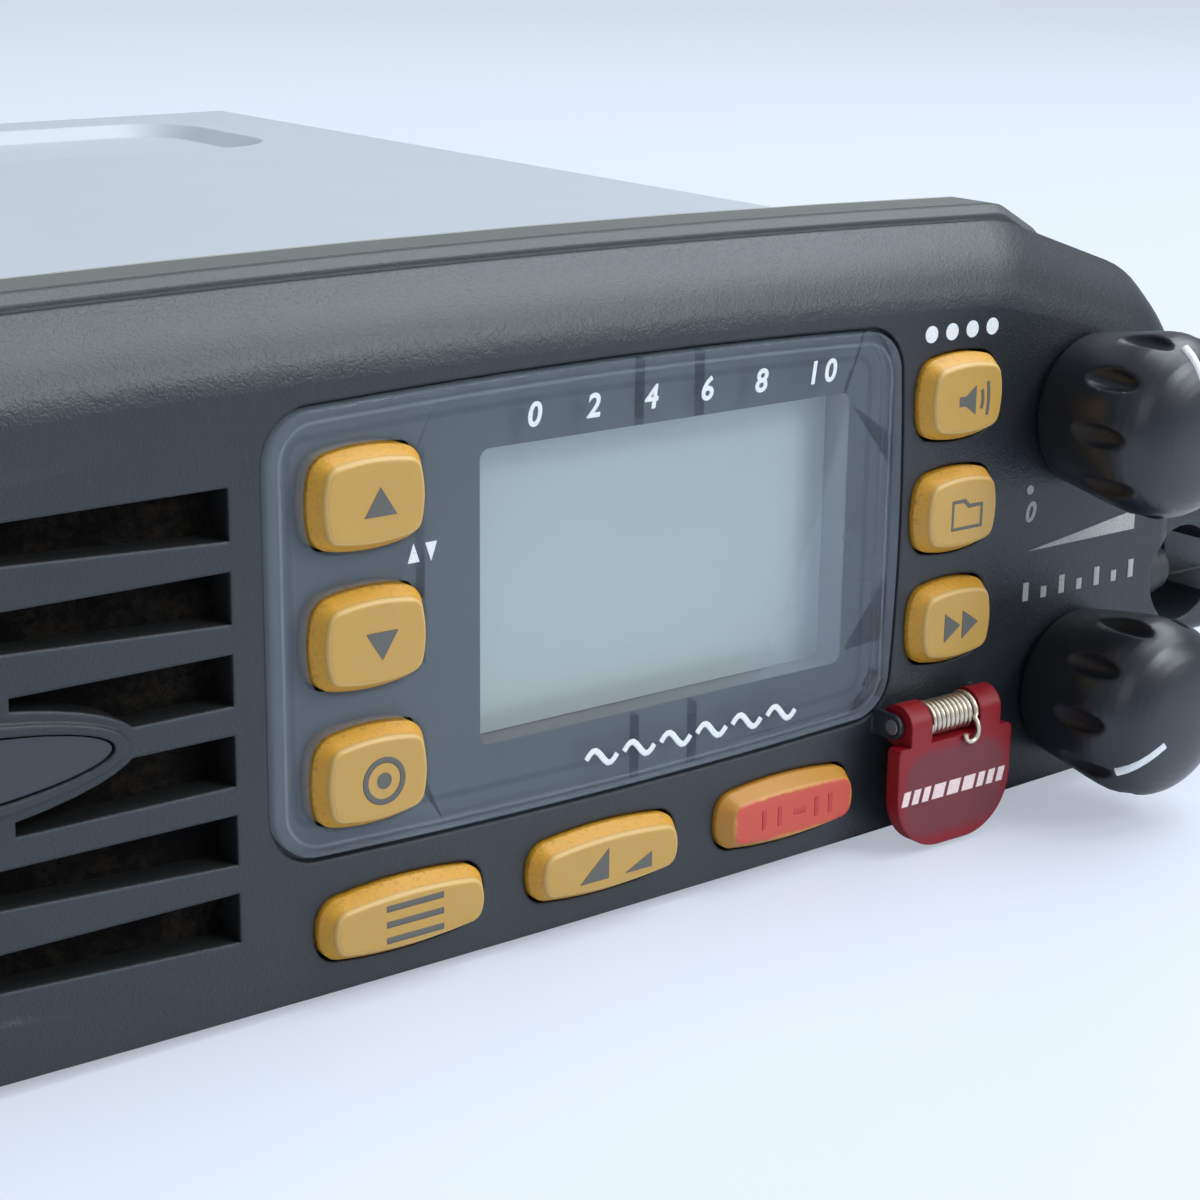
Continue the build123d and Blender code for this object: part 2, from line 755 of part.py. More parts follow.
mat_columns = [(lens_key_x, lens_key[0]), (mode_key_x, mode_key[0])]
mat_bottom = row_key_z - row_key[1] / 2 + mat_margin / 2
mat_top = mode_key_z + mode_key[1] / 2 + mat_margin
with BuildPart() as keypad_mat:
    mat_depth = (mat_front, board_front)
    for x, width in mat_columns:
        block((x - width / 2 - mat_margin, x + width / 2 + mat_margin), mat_depth,
              (mat_bottom, mat_top))
    block((lens_key_x - lens_key[0] / 2 - mat_margin, mode_key_x + mode_key[0] / 2 + mat_margin),
          mat_depth, (mat_bottom, row_key_z + row_key[1] / 2 + mat_margin))
    for place, size, proud in key_plan.values():
        rod(place[0], place[1], dome_radius, (dome_front, mat_front))
write(keypad_mat, "keypad_mat")

with BuildPart() as front_board:
    with BuildSketch(front_plane(board_front)):
        add(board_outline)
        with Locations((lens_left - face_half_width, face_top / 2)):
            Rectangle(2 * face_half_width - mat_margin, 2 * face_top, mode=Mode.SUBTRACT)
        for place in low_screws:
            with Locations(place):
                Circle(boss_radius + key_gap, mode=Mode.SUBTRACT)
    extrude(amount=-board_thickness)
write(front_board, "front_board")

# ---------------------------------------------------------------- knobs and potentiometers
bore_back = board_front - pot_floor
cap_y = knob_tip + knob_cap
cap_sphere = (knob_rim ** 2 + knob_cap ** 2) / (2 * knob_cap)
cap_turn = asin(knob_rim / cap_sphere) / 2
cap_middle = (cap_sphere * sin(cap_turn), knob_tip + cap_sphere * (1 - cos(cap_turn)))
for name, z in knob_places.items():
    with BuildPart() as pot:
        block((knob_x - pot_size / 2, knob_x + pot_size / 2), (board_front - pot_depth, board_front),
              (z - pot_size / 2, z + pot_size / 2))
        rod(knob_x, z, bush_radius, (-bush_proud, board_front - pot_depth))
        rod(knob_x, z, shaft_radius + shaft_bore_gap, (-bush_proud - 1, bore_back),
            mode=Mode.SUBTRACT)
    write(pot, f"{name}_pot")

    shaft_tip = knob_tip + knob_cap + knob_round
    with BuildPart() as shaft:
        rod(knob_x, z, shaft_radius, (shaft_tip, bore_back - fit_gap))
    write(shaft, f"{name}_shaft")

    with BuildPart() as knob:
        axis_plane = Plane(origin=(face_x + knob_x, face_y, z), x_dir=(1, 0, 0), z_dir=(0, 0, 1))
        with BuildSketch(axis_plane) as outline:
            with BuildLine():
                Polyline((0, -knob_clearance), (knob_base - knob_edge, -knob_clearance),
                         (knob_base, -knob_clearance - knob_edge), (knob_rim, cap_y))
                ThreePointArc((knob_rim, cap_y), cap_middle, (0, knob_tip))
                Line((0, knob_tip), (0, -knob_clearance))
            make_face()
            fillet(outline.vertices().sort_by_distance((knob_rim, cap_y))[0], knob_round)
        revolve(axis=Axis((face_x + knob_x, face_y, z), (0, 1, 0)))
        dimple_end = cap_y + knob_round
        for index in range(knob_dimples):
            angle = 2 * pi * (index + 0.5) / knob_dimples
            reach = dimple_floor + dimple_radius
            dimple_x = knob_x + reach * sin(angle)
            dimple_z = z + reach * cos(angle)
            rod(dimple_x, dimple_z, dimple_radius, (dimple_end, dimple_end + dimple_length),
                mode=Mode.SUBTRACT)
        rod(knob_x, z, knob_hollow, (-bush_proud - knob_clearance, 0), mode=Mode.SUBTRACT)
        rod(knob_x, z, shaft_radius + knob_bore_gap, (shaft_tip, 0), mode=Mode.SUBTRACT)
    write(knob, f"{name}_knob")

with BuildPart() as pot_washers:
    for z in knob_places.values():
        rod(knob_x, z, washer_radius, (-washer_thickness, 0))
        rod(knob_x, z, bush_radius + fit_gap, (-washer_thickness, 0), mode=Mode.SUBTRACT)
write(pot_washers, "pot_washers")

with BuildPart() as pot_nuts:
    with BuildSketch(front_plane(-washer_thickness)):
        with Locations(*[(knob_x, z) for z in knob_places.values()]):
            RegularPolygon(nut_flats / sqrt(3), 6)
            Circle(bush_radius + screw_gap, mode=Mode.SUBTRACT)
    extrude(amount=nut_thickness)
write(pot_nuts, "pot_nuts")

# ---------------------------------------------------------------- distress cover
cover_left = distress_x - cover_width / 2
cover_right = distress_x + cover_width / 2
cover_front = hinge_depth - ear_radius
cover_back = cover_front + cover_thickness
with BuildPart() as distress_cover:
    with BuildSketch(front_plane(cover_back)) as flap:
        with Locations((distress_x, (cover_bottom + cover_top) / 2)):
            Rectangle(cover_width, cover_top - cover_bottom)
        fillet(flap.vertices().group_by(Axis.Y)[0], cover_corner)
        fillet(flap.vertices().group_by(Axis.Y)[-1], cover_top_corner)
    extrude(amount=cover_thickness)
    neck = hinge_z - sqrt(ear_radius ** 2 - (cover_back - hinge_depth) ** 2)
    for ear in (left_ear, right_ear):
        with BuildSketch(side_plane(distress_x + ear[0])):
            with BuildLine():
                Polyline((cover_back, neck), (cover_back, cover_top - cover_top_corner),
                         (cover_front, cover_top - cover_top_corner), (cover_front, hinge_z))
                ThreePointArc((cover_front, hinge_z), (hinge_depth, hinge_z + ear_radius),
                              (hinge_depth + ear_radius, hinge_z))
                RadiusArc((hinge_depth + ear_radius, hinge_z), (cover_back, neck), ear_radius)
            make_face()
            with Locations((hinge_depth, hinge_z)):
                Circle(pin_radius + pin_gap, mode=Mode.SUBTRACT)
        extrude(amount=ear[1] - ear[0])
write(distress_cover, "distress_cover")

with BuildPart() as cover_hinge_pin:
    crossrod((boss_left[0], boss_right[1]), hinge_depth, hinge_z, pin_radius)
write(cover_hinge_pin, "cover_hinge_pin")

coil_left = distress_x + left_ear[1] + spring_wire
coil_right = distress_x + right_ear[0] - spring_wire
leg_front = cover_front - spring_wire - spring_gap
with BuildPart() as cover_spring:
    crossrod((coil_left, coil_right), hinge_depth, hinge_z, spring_radius)
    crossrod((coil_left, coil_right), hinge_depth, hinge_z, spring_radius - 2 * spring_wire,
             mode=Mode.SUBTRACT)
    leg_x = face_x + coil_right - spring_wire
    leg_root = hinge_depth - spring_radius + spring_wire
    leg_top = hinge_z - spring_drop
    with BuildLine():
        Polyline((leg_x, face_y + leg_root, leg_top), (leg_x, face_y + leg_front, leg_top - spring_drop),
                 (leg_x, face_y + leg_front, hinge_z - spring_leg))
    leg_start = Plane(origin=(leg_x, face_y + leg_root, leg_top),
                      z_dir=(0, leg_front - leg_root, -spring_drop))
    with BuildSketch(leg_start):
        Circle(spring_wire)
    sweep(transition=Transition.ROUND)
    block((coil_left, coil_left + 2 * spring_wire), (hinge_depth + spring_radius - spring_wire, 0),
          (hinge_z - 2 * spring_wire, hinge_z))
write(cover_spring, "cover_spring")

# ---------------------------------------------------------------- speaker, grille cloth and badge
with BuildPart() as badge_plate:
    with BuildSketch(front_plane(badge_recess)):
        with Locations((grille_x, badge_z)):
            Ellipse(*badge_half)
    extrude(amount=badge_thickness)
write(badge_plate, "badge_plate")

cloth_half_height = (slot_count * slot_pitch) / 2
cloth_z = slot_top - (slot_count * slot_pitch - slot_pitch + slot_height) / 2
with BuildPart() as speaker_cloth:
    with BuildSketch(front_plane(face_wall)):
        with Locations((grille_x, cloth_z)):
            Rectangle(2 * grille_half_length + cloth_margin, 2 * cloth_half_height)
        add(board_outline, mode=Mode.INTERSECT)
        with Locations(low_screws[0]):
            Circle(boss_radius + screw_hole_gap, mode=Mode.SUBTRACT)
    extrude(amount=-cloth_thickness)
write(speaker_cloth, "speaker_cloth")

speaker_front = face_wall + cloth_thickness
rim_back = speaker_front + speaker_rim
magnet_front = wall_front - magnet_gap - magnet_thickness
speaker_side = Plane(origin=(face_x + grille_x, face_y, badge_z), x_dir=(1, 0, 0), z_dir=(0, 0, 1))
speaker_axis = Axis((face_x + grille_x, face_y, badge_z), (0, 1, 0))
cone_edge = speaker_radius - cone_inset
with BuildPart() as speaker_frame:
    with BuildSketch(speaker_side):
        with BuildLine():
            Polyline((cone_edge, speaker_front), (speaker_radius, speaker_front),
                     (speaker_radius, rim_back), (cone_edge + frame_wall, rim_back),
                     (magnet_radius, magnet_front), (frame_hole, magnet_front),
                     (frame_hole, magnet_front - frame_wall),
                     (magnet_radius - frame_wall, magnet_front - frame_wall),
                     (cone_edge, rim_back - frame_wall / 2), close=True)
        make_face()
    revolve(axis=speaker_axis)
write(speaker_frame, "speaker_frame")

cone_front = speaker_front + cone_gap
cone_back = magnet_front - cone_rise
cone_rim = cone_edge - cone_gap
with BuildPart() as speaker_cone:
    with BuildSketch(speaker_side):
        with BuildLine():
            Polyline((cone_rim, cone_front), (cone_rim, cone_front + cone_thickness),
                     (cone_rim - cone_surround, cone_front + cone_thickness), (cone_neck, cone_back),
                     (0, cone_back), (0, cone_back - cone_thickness),
                     (cone_neck, cone_back - cone_thickness),
                     (cone_rim - cone_surround, cone_front), close=True)
        make_face()
    revolve(axis=speaker_axis)
write(speaker_cone, "speaker_cone")

with BuildPart() as speaker_magnet:
    rod(grille_x, badge_z, magnet_radius, (magnet_front, magnet_front + magnet_thickness))
write(speaker_magnet, "speaker_magnet")

# ---------------------------------------------------------------- microphone cord gland
gland_flange_end = gland_x + gland_lip
gland_end = gland_flange_end + gland_nozzle
with BuildPart() as mic_cord_gland:
    crossrod((gland_x, gland_flange_end), gland_depth, gland_z, gland_radius)
    crossrod((face_half_width - side_wall, gland_end), gland_depth, gland_z, cord_bore + gland_wall)
    crossrod((face_half_width - side_wall - 1, gland_end + 1), gland_depth, gland_z, cord_bore,
             mode=Mode.SUBTRACT)
write(mic_cord_gland, "mic_cord_gland")

# ---------------------------------------------------------------- case and what seals it
with BuildPart() as rear_case:
    with BuildSketch(front_plane(case_front)):
        add(case_outline(0))
        add(case_outline(case_wall), mode=Mode.SUBTRACT)
    extrude(amount=-(case_rear - case_front))
    for x, z in case_bosses:
        for start, end in ((case_front, case_front + case_boss_length),
                           (case_rear - case_boss_length, case_rear)):
            rod(x, z, case_boss_radius, (start, end))
            sideways = (x, case_inner + 0.5) if x > 0 else (-case_inner - 0.5, x)
            block(sideways, (start, end), (z - case_boss_radius, z + case_boss_radius))
            rod(x, z, screw_radius + screw_gap, (start - 1, end + 1), mode=Mode.SUBTRACT)
    for side in (-1, 1):
        # rail under the circuit board, rib under the case, boss for the bracket knob
        rail = sorted((side * (case_inner - rail_width), side * (case_inner + 0.5)))
        block(rail, (case_front + case_boss_length, case_rear - case_boss_length),
              (rail_top - rail_thickness, rail_top))
        rib = sorted((side * (rest_rib[1] - rest_rib[0] / 2), side * (rest_rib[1] + rest_rib[0] / 2)))
        block(rib, rest_rib_span, (0, case_bottom + 1))
        boss = sorted((side * (case_half_width - bracket_boss_length), side * (case_half_width - 0.5)))
        crossrod(boss, bracket_depth, bracket_z, bracket_boss_radius)
        seat = sorted((side * (case_half_width - bracket_boss_length - 1), side * (case_half_width + 1)))
        crossrod(seat, bracket_depth, bracket_z, insert_radius + screw_gap, mode=Mode.SUBTRACT)
    # bare sunk panel in the top
    for height, inset in ((case_top, 0), (case_top - panel_depth, panel_slope)):
        with BuildSketch(Plane.XY.offset(height)):
            with Locations((face_x, face_y + panel_middle)):
                RectangleRounded(panel_size[0] - 2 * inset, panel_size[1] - 2 * inset,
                                 panel_size[2] - inset)
    loft(mode=Mode.SUBTRACT)
write(rear_case, "rear_case")

with BuildPart() as case_gasket:
    with BuildSketch(front_plane(housing_rear)):
        add(case_outline(0))
        add(case_outline(case_wall), mode=Mode.SUBTRACT)
    extrude(amount=-case_seal)
write(case_gasket, "case_gasket")

with BuildPart() as case_screws:
    for x, z in case_bosses:
        rod(x, z, screw_radius, (wall_front, case_front + case_boss_length - screw_reserve))
        rod(x, z, screw_head_radius, (wall_front - screw_head, wall_front))
write(case_screws, "case_screws")

insert_face = case_half_width + insert_proud
with BuildPart() as bracket_inserts:
    for side in (-1, 1):
        ends = sorted((side * (insert_face - insert_length), side * insert_face))
        crossrod(ends, bracket_depth, bracket_z, insert_radius)
        crossrod(ends, bracket_depth, bracket_z, insert_bore, mode=Mode.SUBTRACT)
write(bracket_inserts, "bracket_inserts")

# ---------------------------------------------------------------- heat sink and what it carries
gland_places = [(power_gland_x, power_gland_z, power_gland_radius)]
gland_places += [(x, power_gland_z, signal_gland_radius) for x in signal_gland_x]
fins_low = case_bottom + fin_margin
fins_high = case_top - fin_margin
with BuildPart() as heat_sink:
    with BuildSketch(front_plane(plate_front)):
        add(case_outline(plate_inset))
    extrude(amount=-plate_thickness)
    for index in range(fin_count):
        x = fin_first_x + index * fin_pitch
        block((x - fin_thickness / 2, x + fin_thickness / 2), (plate_rear, plate_rear + fin_height),
              (fins_low, fins_high))
    for x, z in case_bosses:
        rod(x, z, screw_head_radius + screw_recess, (plate_rear, plate_rear + fin_height + 1),
            mode=Mode.SUBTRACT)
        rod(x, z, screw_radius + screw_hole_gap, (plate_front - 1, plate_rear + 1), mode=Mode.SUBTRACT)
    rod(socket_x, socket_z, socket_body + fit_gap, (plate_front - 1, plate_rear + 1), mode=Mode.SUBTRACT)
    for x, z, radius in gland_places:
        rod(x, z, radius - gland_flange + fit_gap, (plate_front - 1, plate_rear + 1), mode=Mode.SUBTRACT)
write(heat_sink, "heat_sink")

with BuildPart() as heat_sink_gasket:
    with BuildSketch(front_plane(case_rear)):
        add(case_outline(plate_inset))
        add(case_outline(case_wall), mode=Mode.SUBTRACT)
    extrude(amount=-case_seal)
write(heat_sink_gasket, "heat_sink_gasket")

with BuildPart() as heat_sink_screws:
    for x, z in case_bosses:
        rod(x, z, screw_radius, (case_rear - case_boss_length + screw_reserve, plate_rear))
        rod(x, z, screw_head_radius, (plate_rear, plate_rear + screw_head))
write(heat_sink_screws, "heat_sink_screws")

socket_front = plate_rear + socket_flange_thickness
half = socket_flange / 2
screw_reach = half - socket_screw_inset
socket_screws_at = [(socket_x + dx * screw_reach, socket_z + dz * screw_reach)
                    for dx in (-1, 1) for dz in (-1, 1)]
with BuildPart() as antenna_socket:
    block((socket_x - half, socket_x + half), (plate_rear, socket_front),
          (socket_z - half, socket_z + half))
    rod(socket_x, socket_z, socket_body, (plate_front, socket_front))
    rod(socket_x, socket_z, socket_thread_radius, (socket_front, socket_tip))
    rod(socket_x, socket_z, socket_body - socket_wall, (plate_front - 1, socket_tip + 1),
        mode=Mode.SUBTRACT)
    for x, z in socket_screws_at:
        rod(x, z, socket_screw[0] + fit_gap, (plate_rear - 1, socket_front + 1), mode=Mode.SUBTRACT)
write(antenna_socket, "antenna_socket")

with BuildPart() as antenna_insulator:
    rod(socket_x, socket_z, socket_body - socket_wall - screw_gap,
        (plate_front - insulator_inset, socket_tip - insulator_inset))
    rod(socket_x, socket_z, contact_radius + screw_gap, (plate_front - contact_tail, socket_tip),
        mode=Mode.SUBTRACT)
write(antenna_insulator, "antenna_insulator")

with BuildPart() as antenna_contact:
    rod(socket_x, socket_z, contact_radius, (plate_front - contact_tail, socket_tip - contact_inset))
    rod(socket_x, socket_z, contact_bore, (plate_rear, socket_tip), mode=Mode.SUBTRACT)
write(antenna_contact, "antenna_contact")

with BuildPart() as socket_screws:
    for x, z in socket_screws_at:
        rod(x, z, socket_screw[0], (plate_rear, socket_front))
        rod(x, z, socket_screw[1], (socket_front, socket_front + socket_screw[2]))
write(socket_screws, "socket_screws")


def gland(x, z, radius):
    """Flanged rubber bush through the plate, with its lead's bore."""
    rod(x, z, radius, (plate_rear, plate_rear + gland_lip))
    rod(x, z, radius - gland_flange, (plate_front - 1, plate_rear + gland_lip))
    rod(x, z, radius - gland_flange - lead_wall, (plate_front - 2, plate_rear + gland_lip + 1),
        mode=Mode.SUBTRACT)


with BuildPart() as power_lead_gland:
    gland(*gland_places[0])
write(power_lead_gland, "power_lead_gland")

with BuildPart() as signal_lead_glands:
    for place in gland_places[1:]:
        gland(*place)
write(signal_lead_glands, "signal_lead_glands")

# ---------------------------------------------------------------- electronics in the case
board_start = case_front + case_boss_length + board_clearance
board_end = case_rear - case_boss_length - board_clearance
main_top = rail_top + board_thickness
board_half = case_inner - board_clearance / 2
board_screws_at = [(side * (case_inner - rail_width / 2), depth) for side in (-1, 1)
                   for depth in (board_start + board_screw_inset, board_end - board_screw_inset)]


def upright(x, depth, radius, z, mode=Mode.ADD):
    """Cylinder along Z, between the two heights given."""
    with Locations((face_x + x, face_y + depth, (z[0] + z[1]) / 2)):
        Cylinder(radius, z[1] - z[0], mode=mode)


with BuildPart() as main_board:
    block((-board_half, board_half), (board_start, board_end), (rail_top, main_top))
    for x, depth in board_screws_at:
        upright(x, depth, board_screw[0] + fit_gap, (rail_top - 1, main_top + 1), mode=Mode.SUBTRACT)
write(main_board, "main_board")

with BuildPart() as board_screws:
    for x, depth in board_screws_at:
        upright(x, depth, board_screw[0], (rail_top, main_top))
        upright(x, depth, board_screw[1], (main_top, main_top + board_screw[2]))
write(board_screws, "board_screws")


def shield(size, place):
    """Folded can with an open bottom, standing on the board."""
    x = (place[0] - size[0] / 2, place[0] + size[0] / 2)
    depth = (board_start + place[1] - size[1] / 2, board_start + place[1] + size[1] / 2)
    block(x, depth, (main_top, main_top + size[2]))
    block((x[0] + can_wall, x[1] - can_wall), (depth[0] + can_wall, depth[1] - can_wall),
          (main_top, main_top + size[2] - can_wall), mode=Mode.SUBTRACT)


with BuildPart() as rf_shield:
    shield(rf_can, rf_can_place)
write(rf_shield, "rf_shield")

with BuildPart() as synthesizer_shield:
    shield(synthesizer_can, synthesizer_place)
write(synthesizer_shield, "synthesizer_shield")

with BuildPart() as power_module:
    block((module_x - module_size[0] / 2, module_x + module_size[0] / 2),
          (plate_front - module_reach, plate_front),
          (main_top + module_lift, main_top + module_lift + module_size[1]))
write(power_module, "power_module")

with BuildPart() as filter_capacitors:
    for index in range(capacitor_count):
        upright(capacitor_first_x + index * capacitor_pitch, board_start + capacitor_setback,
                capacitor_radius, (main_top, main_top + capacitor_height))
write(filter_capacitors, "filter_capacitors")

with BuildPart() as tuned_coils:
    for index in range(coil_count):
        x = coil_first_x + index * coil_pitch
        depth = board_start + coil_setback
        block((x - coil_size / 2, x + coil_size / 2), (depth - coil_size / 2, depth + coil_size / 2),
              (main_top, main_top + coil_height))
write(tuned_coils, "tuned_coils")

with BuildPart() as front_ribbon:
    ribbon = (ribbon_x - ribbon_width / 2, ribbon_x + ribbon_width / 2)
    ribbon_top = mouth_low + ribbon_rise
    ribbon_end = board_start + ribbon_reach
    block(ribbon, (board_back, ribbon_end), (ribbon_top - ribbon_thickness, ribbon_top))
    block(ribbon, (ribbon_end - ribbon_thickness, ribbon_end), (main_top, ribbon_top))
write(front_ribbon, "front_ribbon")
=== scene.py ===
"""Looks of the fixed-mount marine radio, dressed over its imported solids. Lengths in metres."""
import math
import bpy
from mathutils import Matrix, Vector


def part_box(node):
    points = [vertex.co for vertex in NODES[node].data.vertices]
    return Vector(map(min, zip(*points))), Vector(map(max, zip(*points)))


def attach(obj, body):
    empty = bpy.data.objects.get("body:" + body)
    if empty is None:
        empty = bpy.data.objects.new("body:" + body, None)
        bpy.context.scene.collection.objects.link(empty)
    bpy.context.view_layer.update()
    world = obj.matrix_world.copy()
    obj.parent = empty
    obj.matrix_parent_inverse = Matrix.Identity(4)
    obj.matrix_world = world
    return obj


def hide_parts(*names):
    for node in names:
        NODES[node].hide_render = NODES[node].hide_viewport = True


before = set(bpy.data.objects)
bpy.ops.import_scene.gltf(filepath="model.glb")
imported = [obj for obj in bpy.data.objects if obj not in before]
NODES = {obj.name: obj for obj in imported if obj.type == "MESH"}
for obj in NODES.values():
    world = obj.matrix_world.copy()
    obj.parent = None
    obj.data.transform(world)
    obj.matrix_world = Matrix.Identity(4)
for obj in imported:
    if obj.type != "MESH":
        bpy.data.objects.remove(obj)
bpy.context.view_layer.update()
MM = 0.001
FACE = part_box("display_lens")[0].y + 0.3 * MM      # y of the flat front face
MIDDLE = sum(corner.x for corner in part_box("front_housing")) / 2      # x of the face's middle
BACK = (math.pi / 2, 0.0, 0.0)                      # turns a flat drawing to face the user


def at(x, depth, z):
    """Point from x beside the face's middle, depth behind the face and height, in millimetres."""
    return Vector((MIDDLE + x * MM, FACE + depth * MM, z * MM))


def middle_of(node):
    """Middle of a node's box as x, depth and height, as at() takes them."""
    low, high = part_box(node)
    middle = [(a + b) / 2 for a, b in zip(low, high)]
    return (middle[0] - MIDDLE) / MM, (middle[1] - FACE) / MM, middle[2] / MM


def half_of(node):
    """Half a node's width and height, in millimetres."""
    low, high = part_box(node)
    return (high[0] - low[0]) / 2 / MM, (high[2] - low[2]) / 2 / MM


# ------------------------------------------------------------------ places on the face, in millimetres
LENS_MIDDLE = (17.3, 33.65)        # border that is printed inside the lens
LENS_HALF = (35.4, 19.45)
LENS_CORNER = 4.4
LENS_BOW = 0.8
GRILLE_X = (-90.0, -20.0)          # ends of the speaker slots
GRILLE_Z = (6.0, 50.0)
LIP_DEPTH = 7.3                    # where the slope ends and the bezel's pale rear lip begins
KEY_TOP = -2.02                    # depth of a print on a key, on the lens and on the face
LENS_TOP = -0.33
FACE_TOP = -0.02
COVER_TOP = -5.03


# ------------------------------------------------------------------ shader maths
class Wire:
    """A node's output that takes part in Python arithmetic."""

    def __init__(self, finish, socket):
        self.finish = finish
        self.socket = socket

    def _math(self, operation, *values):
        return self.finish.node("ShaderNodeMath", {"operation": operation}, dict(enumerate(values)))

    def __add__(self, other):
        return self._math("ADD", self, other)

    __radd__ = __add__

    def __sub__(self, other):
        return self._math("SUBTRACT", self, other)

    def __rsub__(self, other):
        return self._math("SUBTRACT", other, self)

    def __mul__(self, other):
        return self._math("MULTIPLY", self, other)

    __rmul__ = __mul__

    def __truediv__(self, other):
        return self._math("DIVIDE", self, other)

    def __pow__(self, other):
        return self._math("POWER", self, other)

    def __abs__(self):
        return self._math("ABSOLUTE", self)

    def smaller(self, other):
        return self._math("MINIMUM", self, other)

    def larger(self, other):
        return self._math("MAXIMUM", self, other)

    def step(self, low, high):
        """0 below low, 1 above high, smooth between."""
        return self.finish.node("ShaderNodeMapRange", {"interpolation_type": "SMOOTHSTEP"},
                                {"Value": self, "From Min": low, "From Max": high})


class Finish:
    """One material: a Principled surface and the nodes that vary it."""

    def __init__(self, name, **constants):
        self.material = bpy.data.materials.new(name)
        self.material.use_nodes = True
        self.tree = self.material.node_tree
        self.tree.nodes.clear()
        self.output = self.tree.nodes.new("ShaderNodeOutputMaterial")
        self.surface = self.tree.nodes.new("ShaderNodeBsdfPrincipled")
        self.tree.links.new(self.surface.outputs[0], self.output.inputs["Surface"])
        self.place = Wire(self, self.tree.nodes.new("ShaderNodeTexCoord").outputs["Object"])
        for socket, value in constants.items():
            self.set(**{socket: value})

    def set(self, **values):
        for socket, value in values.items():
            self.plug(self.surface.inputs[socket.replace("_", " ")], value)

    def plug(self, socket, value):
        if isinstance(value, Wire):
            self.tree.links.new(value.socket, socket)
        elif isinstance(value, (tuple, list)) and socket.type == "RGBA":
            socket.default_value = (*value[:3], 1.0)
        else:
            socket.default_value = value

    def node(self, kind, settings=None, sockets=None, out=0):
        made = self.tree.nodes.new(kind)
        for key, value in (settings or {}).items():
            if key == "stops":
                ramp = made.color_ramp.elements
                while len(ramp) < len(value):
                    ramp.new(0.5)
                for element, (place, colour) in zip(ramp, value):
                    element.position = place
                    element.color = (*colour, 1.0)
            else:
                setattr(made, key, value)
        for key, value in (sockets or {}).items():
            self.plug(made.inputs[key], value)
        return Wire(self, made.outputs[out])

    def noise(self, size, detail=3.0, roughness=0.55, distortion=0.0):
        """Noise whose blotches are about size millimetres across."""
        return self.node("ShaderNodeTexNoise", {"noise_dimensions": "3D"},
                         {"Vector": self.place, "Scale": 1.0 / (size * MM), "Detail": detail,
                          "Roughness": roughness, "Distortion": distortion})

    def cells(self, size, feature="F1"):
        return self.node("ShaderNodeTexVoronoi", {"feature": feature},
                         {"Vector": self.place, "Scale": 1.0 / (size * MM)})

    def axis(self, name):
        """Millimetres along one axis: X from the face's middle, Y behind the face, Z up."""
        zero = {"X": MIDDLE, "Y": FACE, "Z": 0.0}[name]
        place = self.node("ShaderNodeSeparateXYZ", {}, {0: self.place}, "XYZ".index(name))
        return (place - zero) / MM

    def distance(self, middle, half, corner, bow=0.0):
        """Millimetres outside a rounded rectangle on the face, negative inside it."""
        x = self.axis("X") - middle[0]
        across = abs(x) - (half[0] - corner)
        rise = bow * (1.0 - (x / half[0]) ** 2.0)
        up = abs(self.axis("Z") - middle[1]) - (half[1] - corner) - rise
        outer = (across.larger(0.0) ** 2.0 + up.larger(0.0) ** 2.0) ** 0.5
        return outer + across.larger(up).smaller(0.0) - corner

    def blend(self, low, high, factor):
        """Colour between two colours."""
        return self.node("ShaderNodeMix", {"data_type": "RGBA"},
                         {"Factor": factor, 6: low, 7: high}, 2)

    def rounded(self, radius):
        """Normal with its edges rounded."""
        return self.node("ShaderNodeBevel", {"samples": 4}, {"Radius": radius * MM})

    def bump(self, height, depth, under=None):
        """Relief from a height of 0 to 1, depth millimetres deep."""
        sockets = {"Height": height, "Strength": 1.0, "Distance": depth * MM}
        if under is not None:
            sockets["Normal"] = under
        return self.node("ShaderNodeBump", {}, sockets)


def moulded(name, colour, shade=0.15, roughness=0.5, grain=0.5, relief=0.02, edge=0.2):
    """Moulded plastic: fine spark grain, faint blotches, softened edges."""
    finish = Finish(name)
    blotch = finish.noise(14.0, 3.0)
    dark = tuple(c * (1 - shade) for c in colour)
    light = tuple(min(c * (1 + shade), 1.0) for c in colour)
    finish.set(Base_Color=finish.blend(dark, light, blotch))
    fine = finish.noise(grain, 2.0, 0.6)
    finish.set(Roughness=roughness - 0.05 + 0.1 * fine + 0.06 * blotch)
    finish.set(Normal=finish.bump(fine, relief, finish.rounded(edge)))
    return finish


def metal(name, colour, roughness=0.3, grain=0.3, relief=0.004, metallic=1.0):
    """Plated, turned or pressed metal with a fine uneven polish."""
    finish = Finish(name, Metallic=metallic)
    haze = finish.noise(grain * 12, 4.0)
    finish.set(Base_Color=finish.blend(tuple(c * 0.82 for c in colour), colour, haze))
    finish.set(Roughness=roughness + 0.14 * haze)
    finish.set(Normal=finish.bump(finish.noise(grain, 2.0), relief, finish.rounded(0.1)))
    return finish


def dress(finish, *nodes):
    for name in nodes:
        slots = NODES[name].data.materials
        slots.clear()
        slots.append(finish.material)


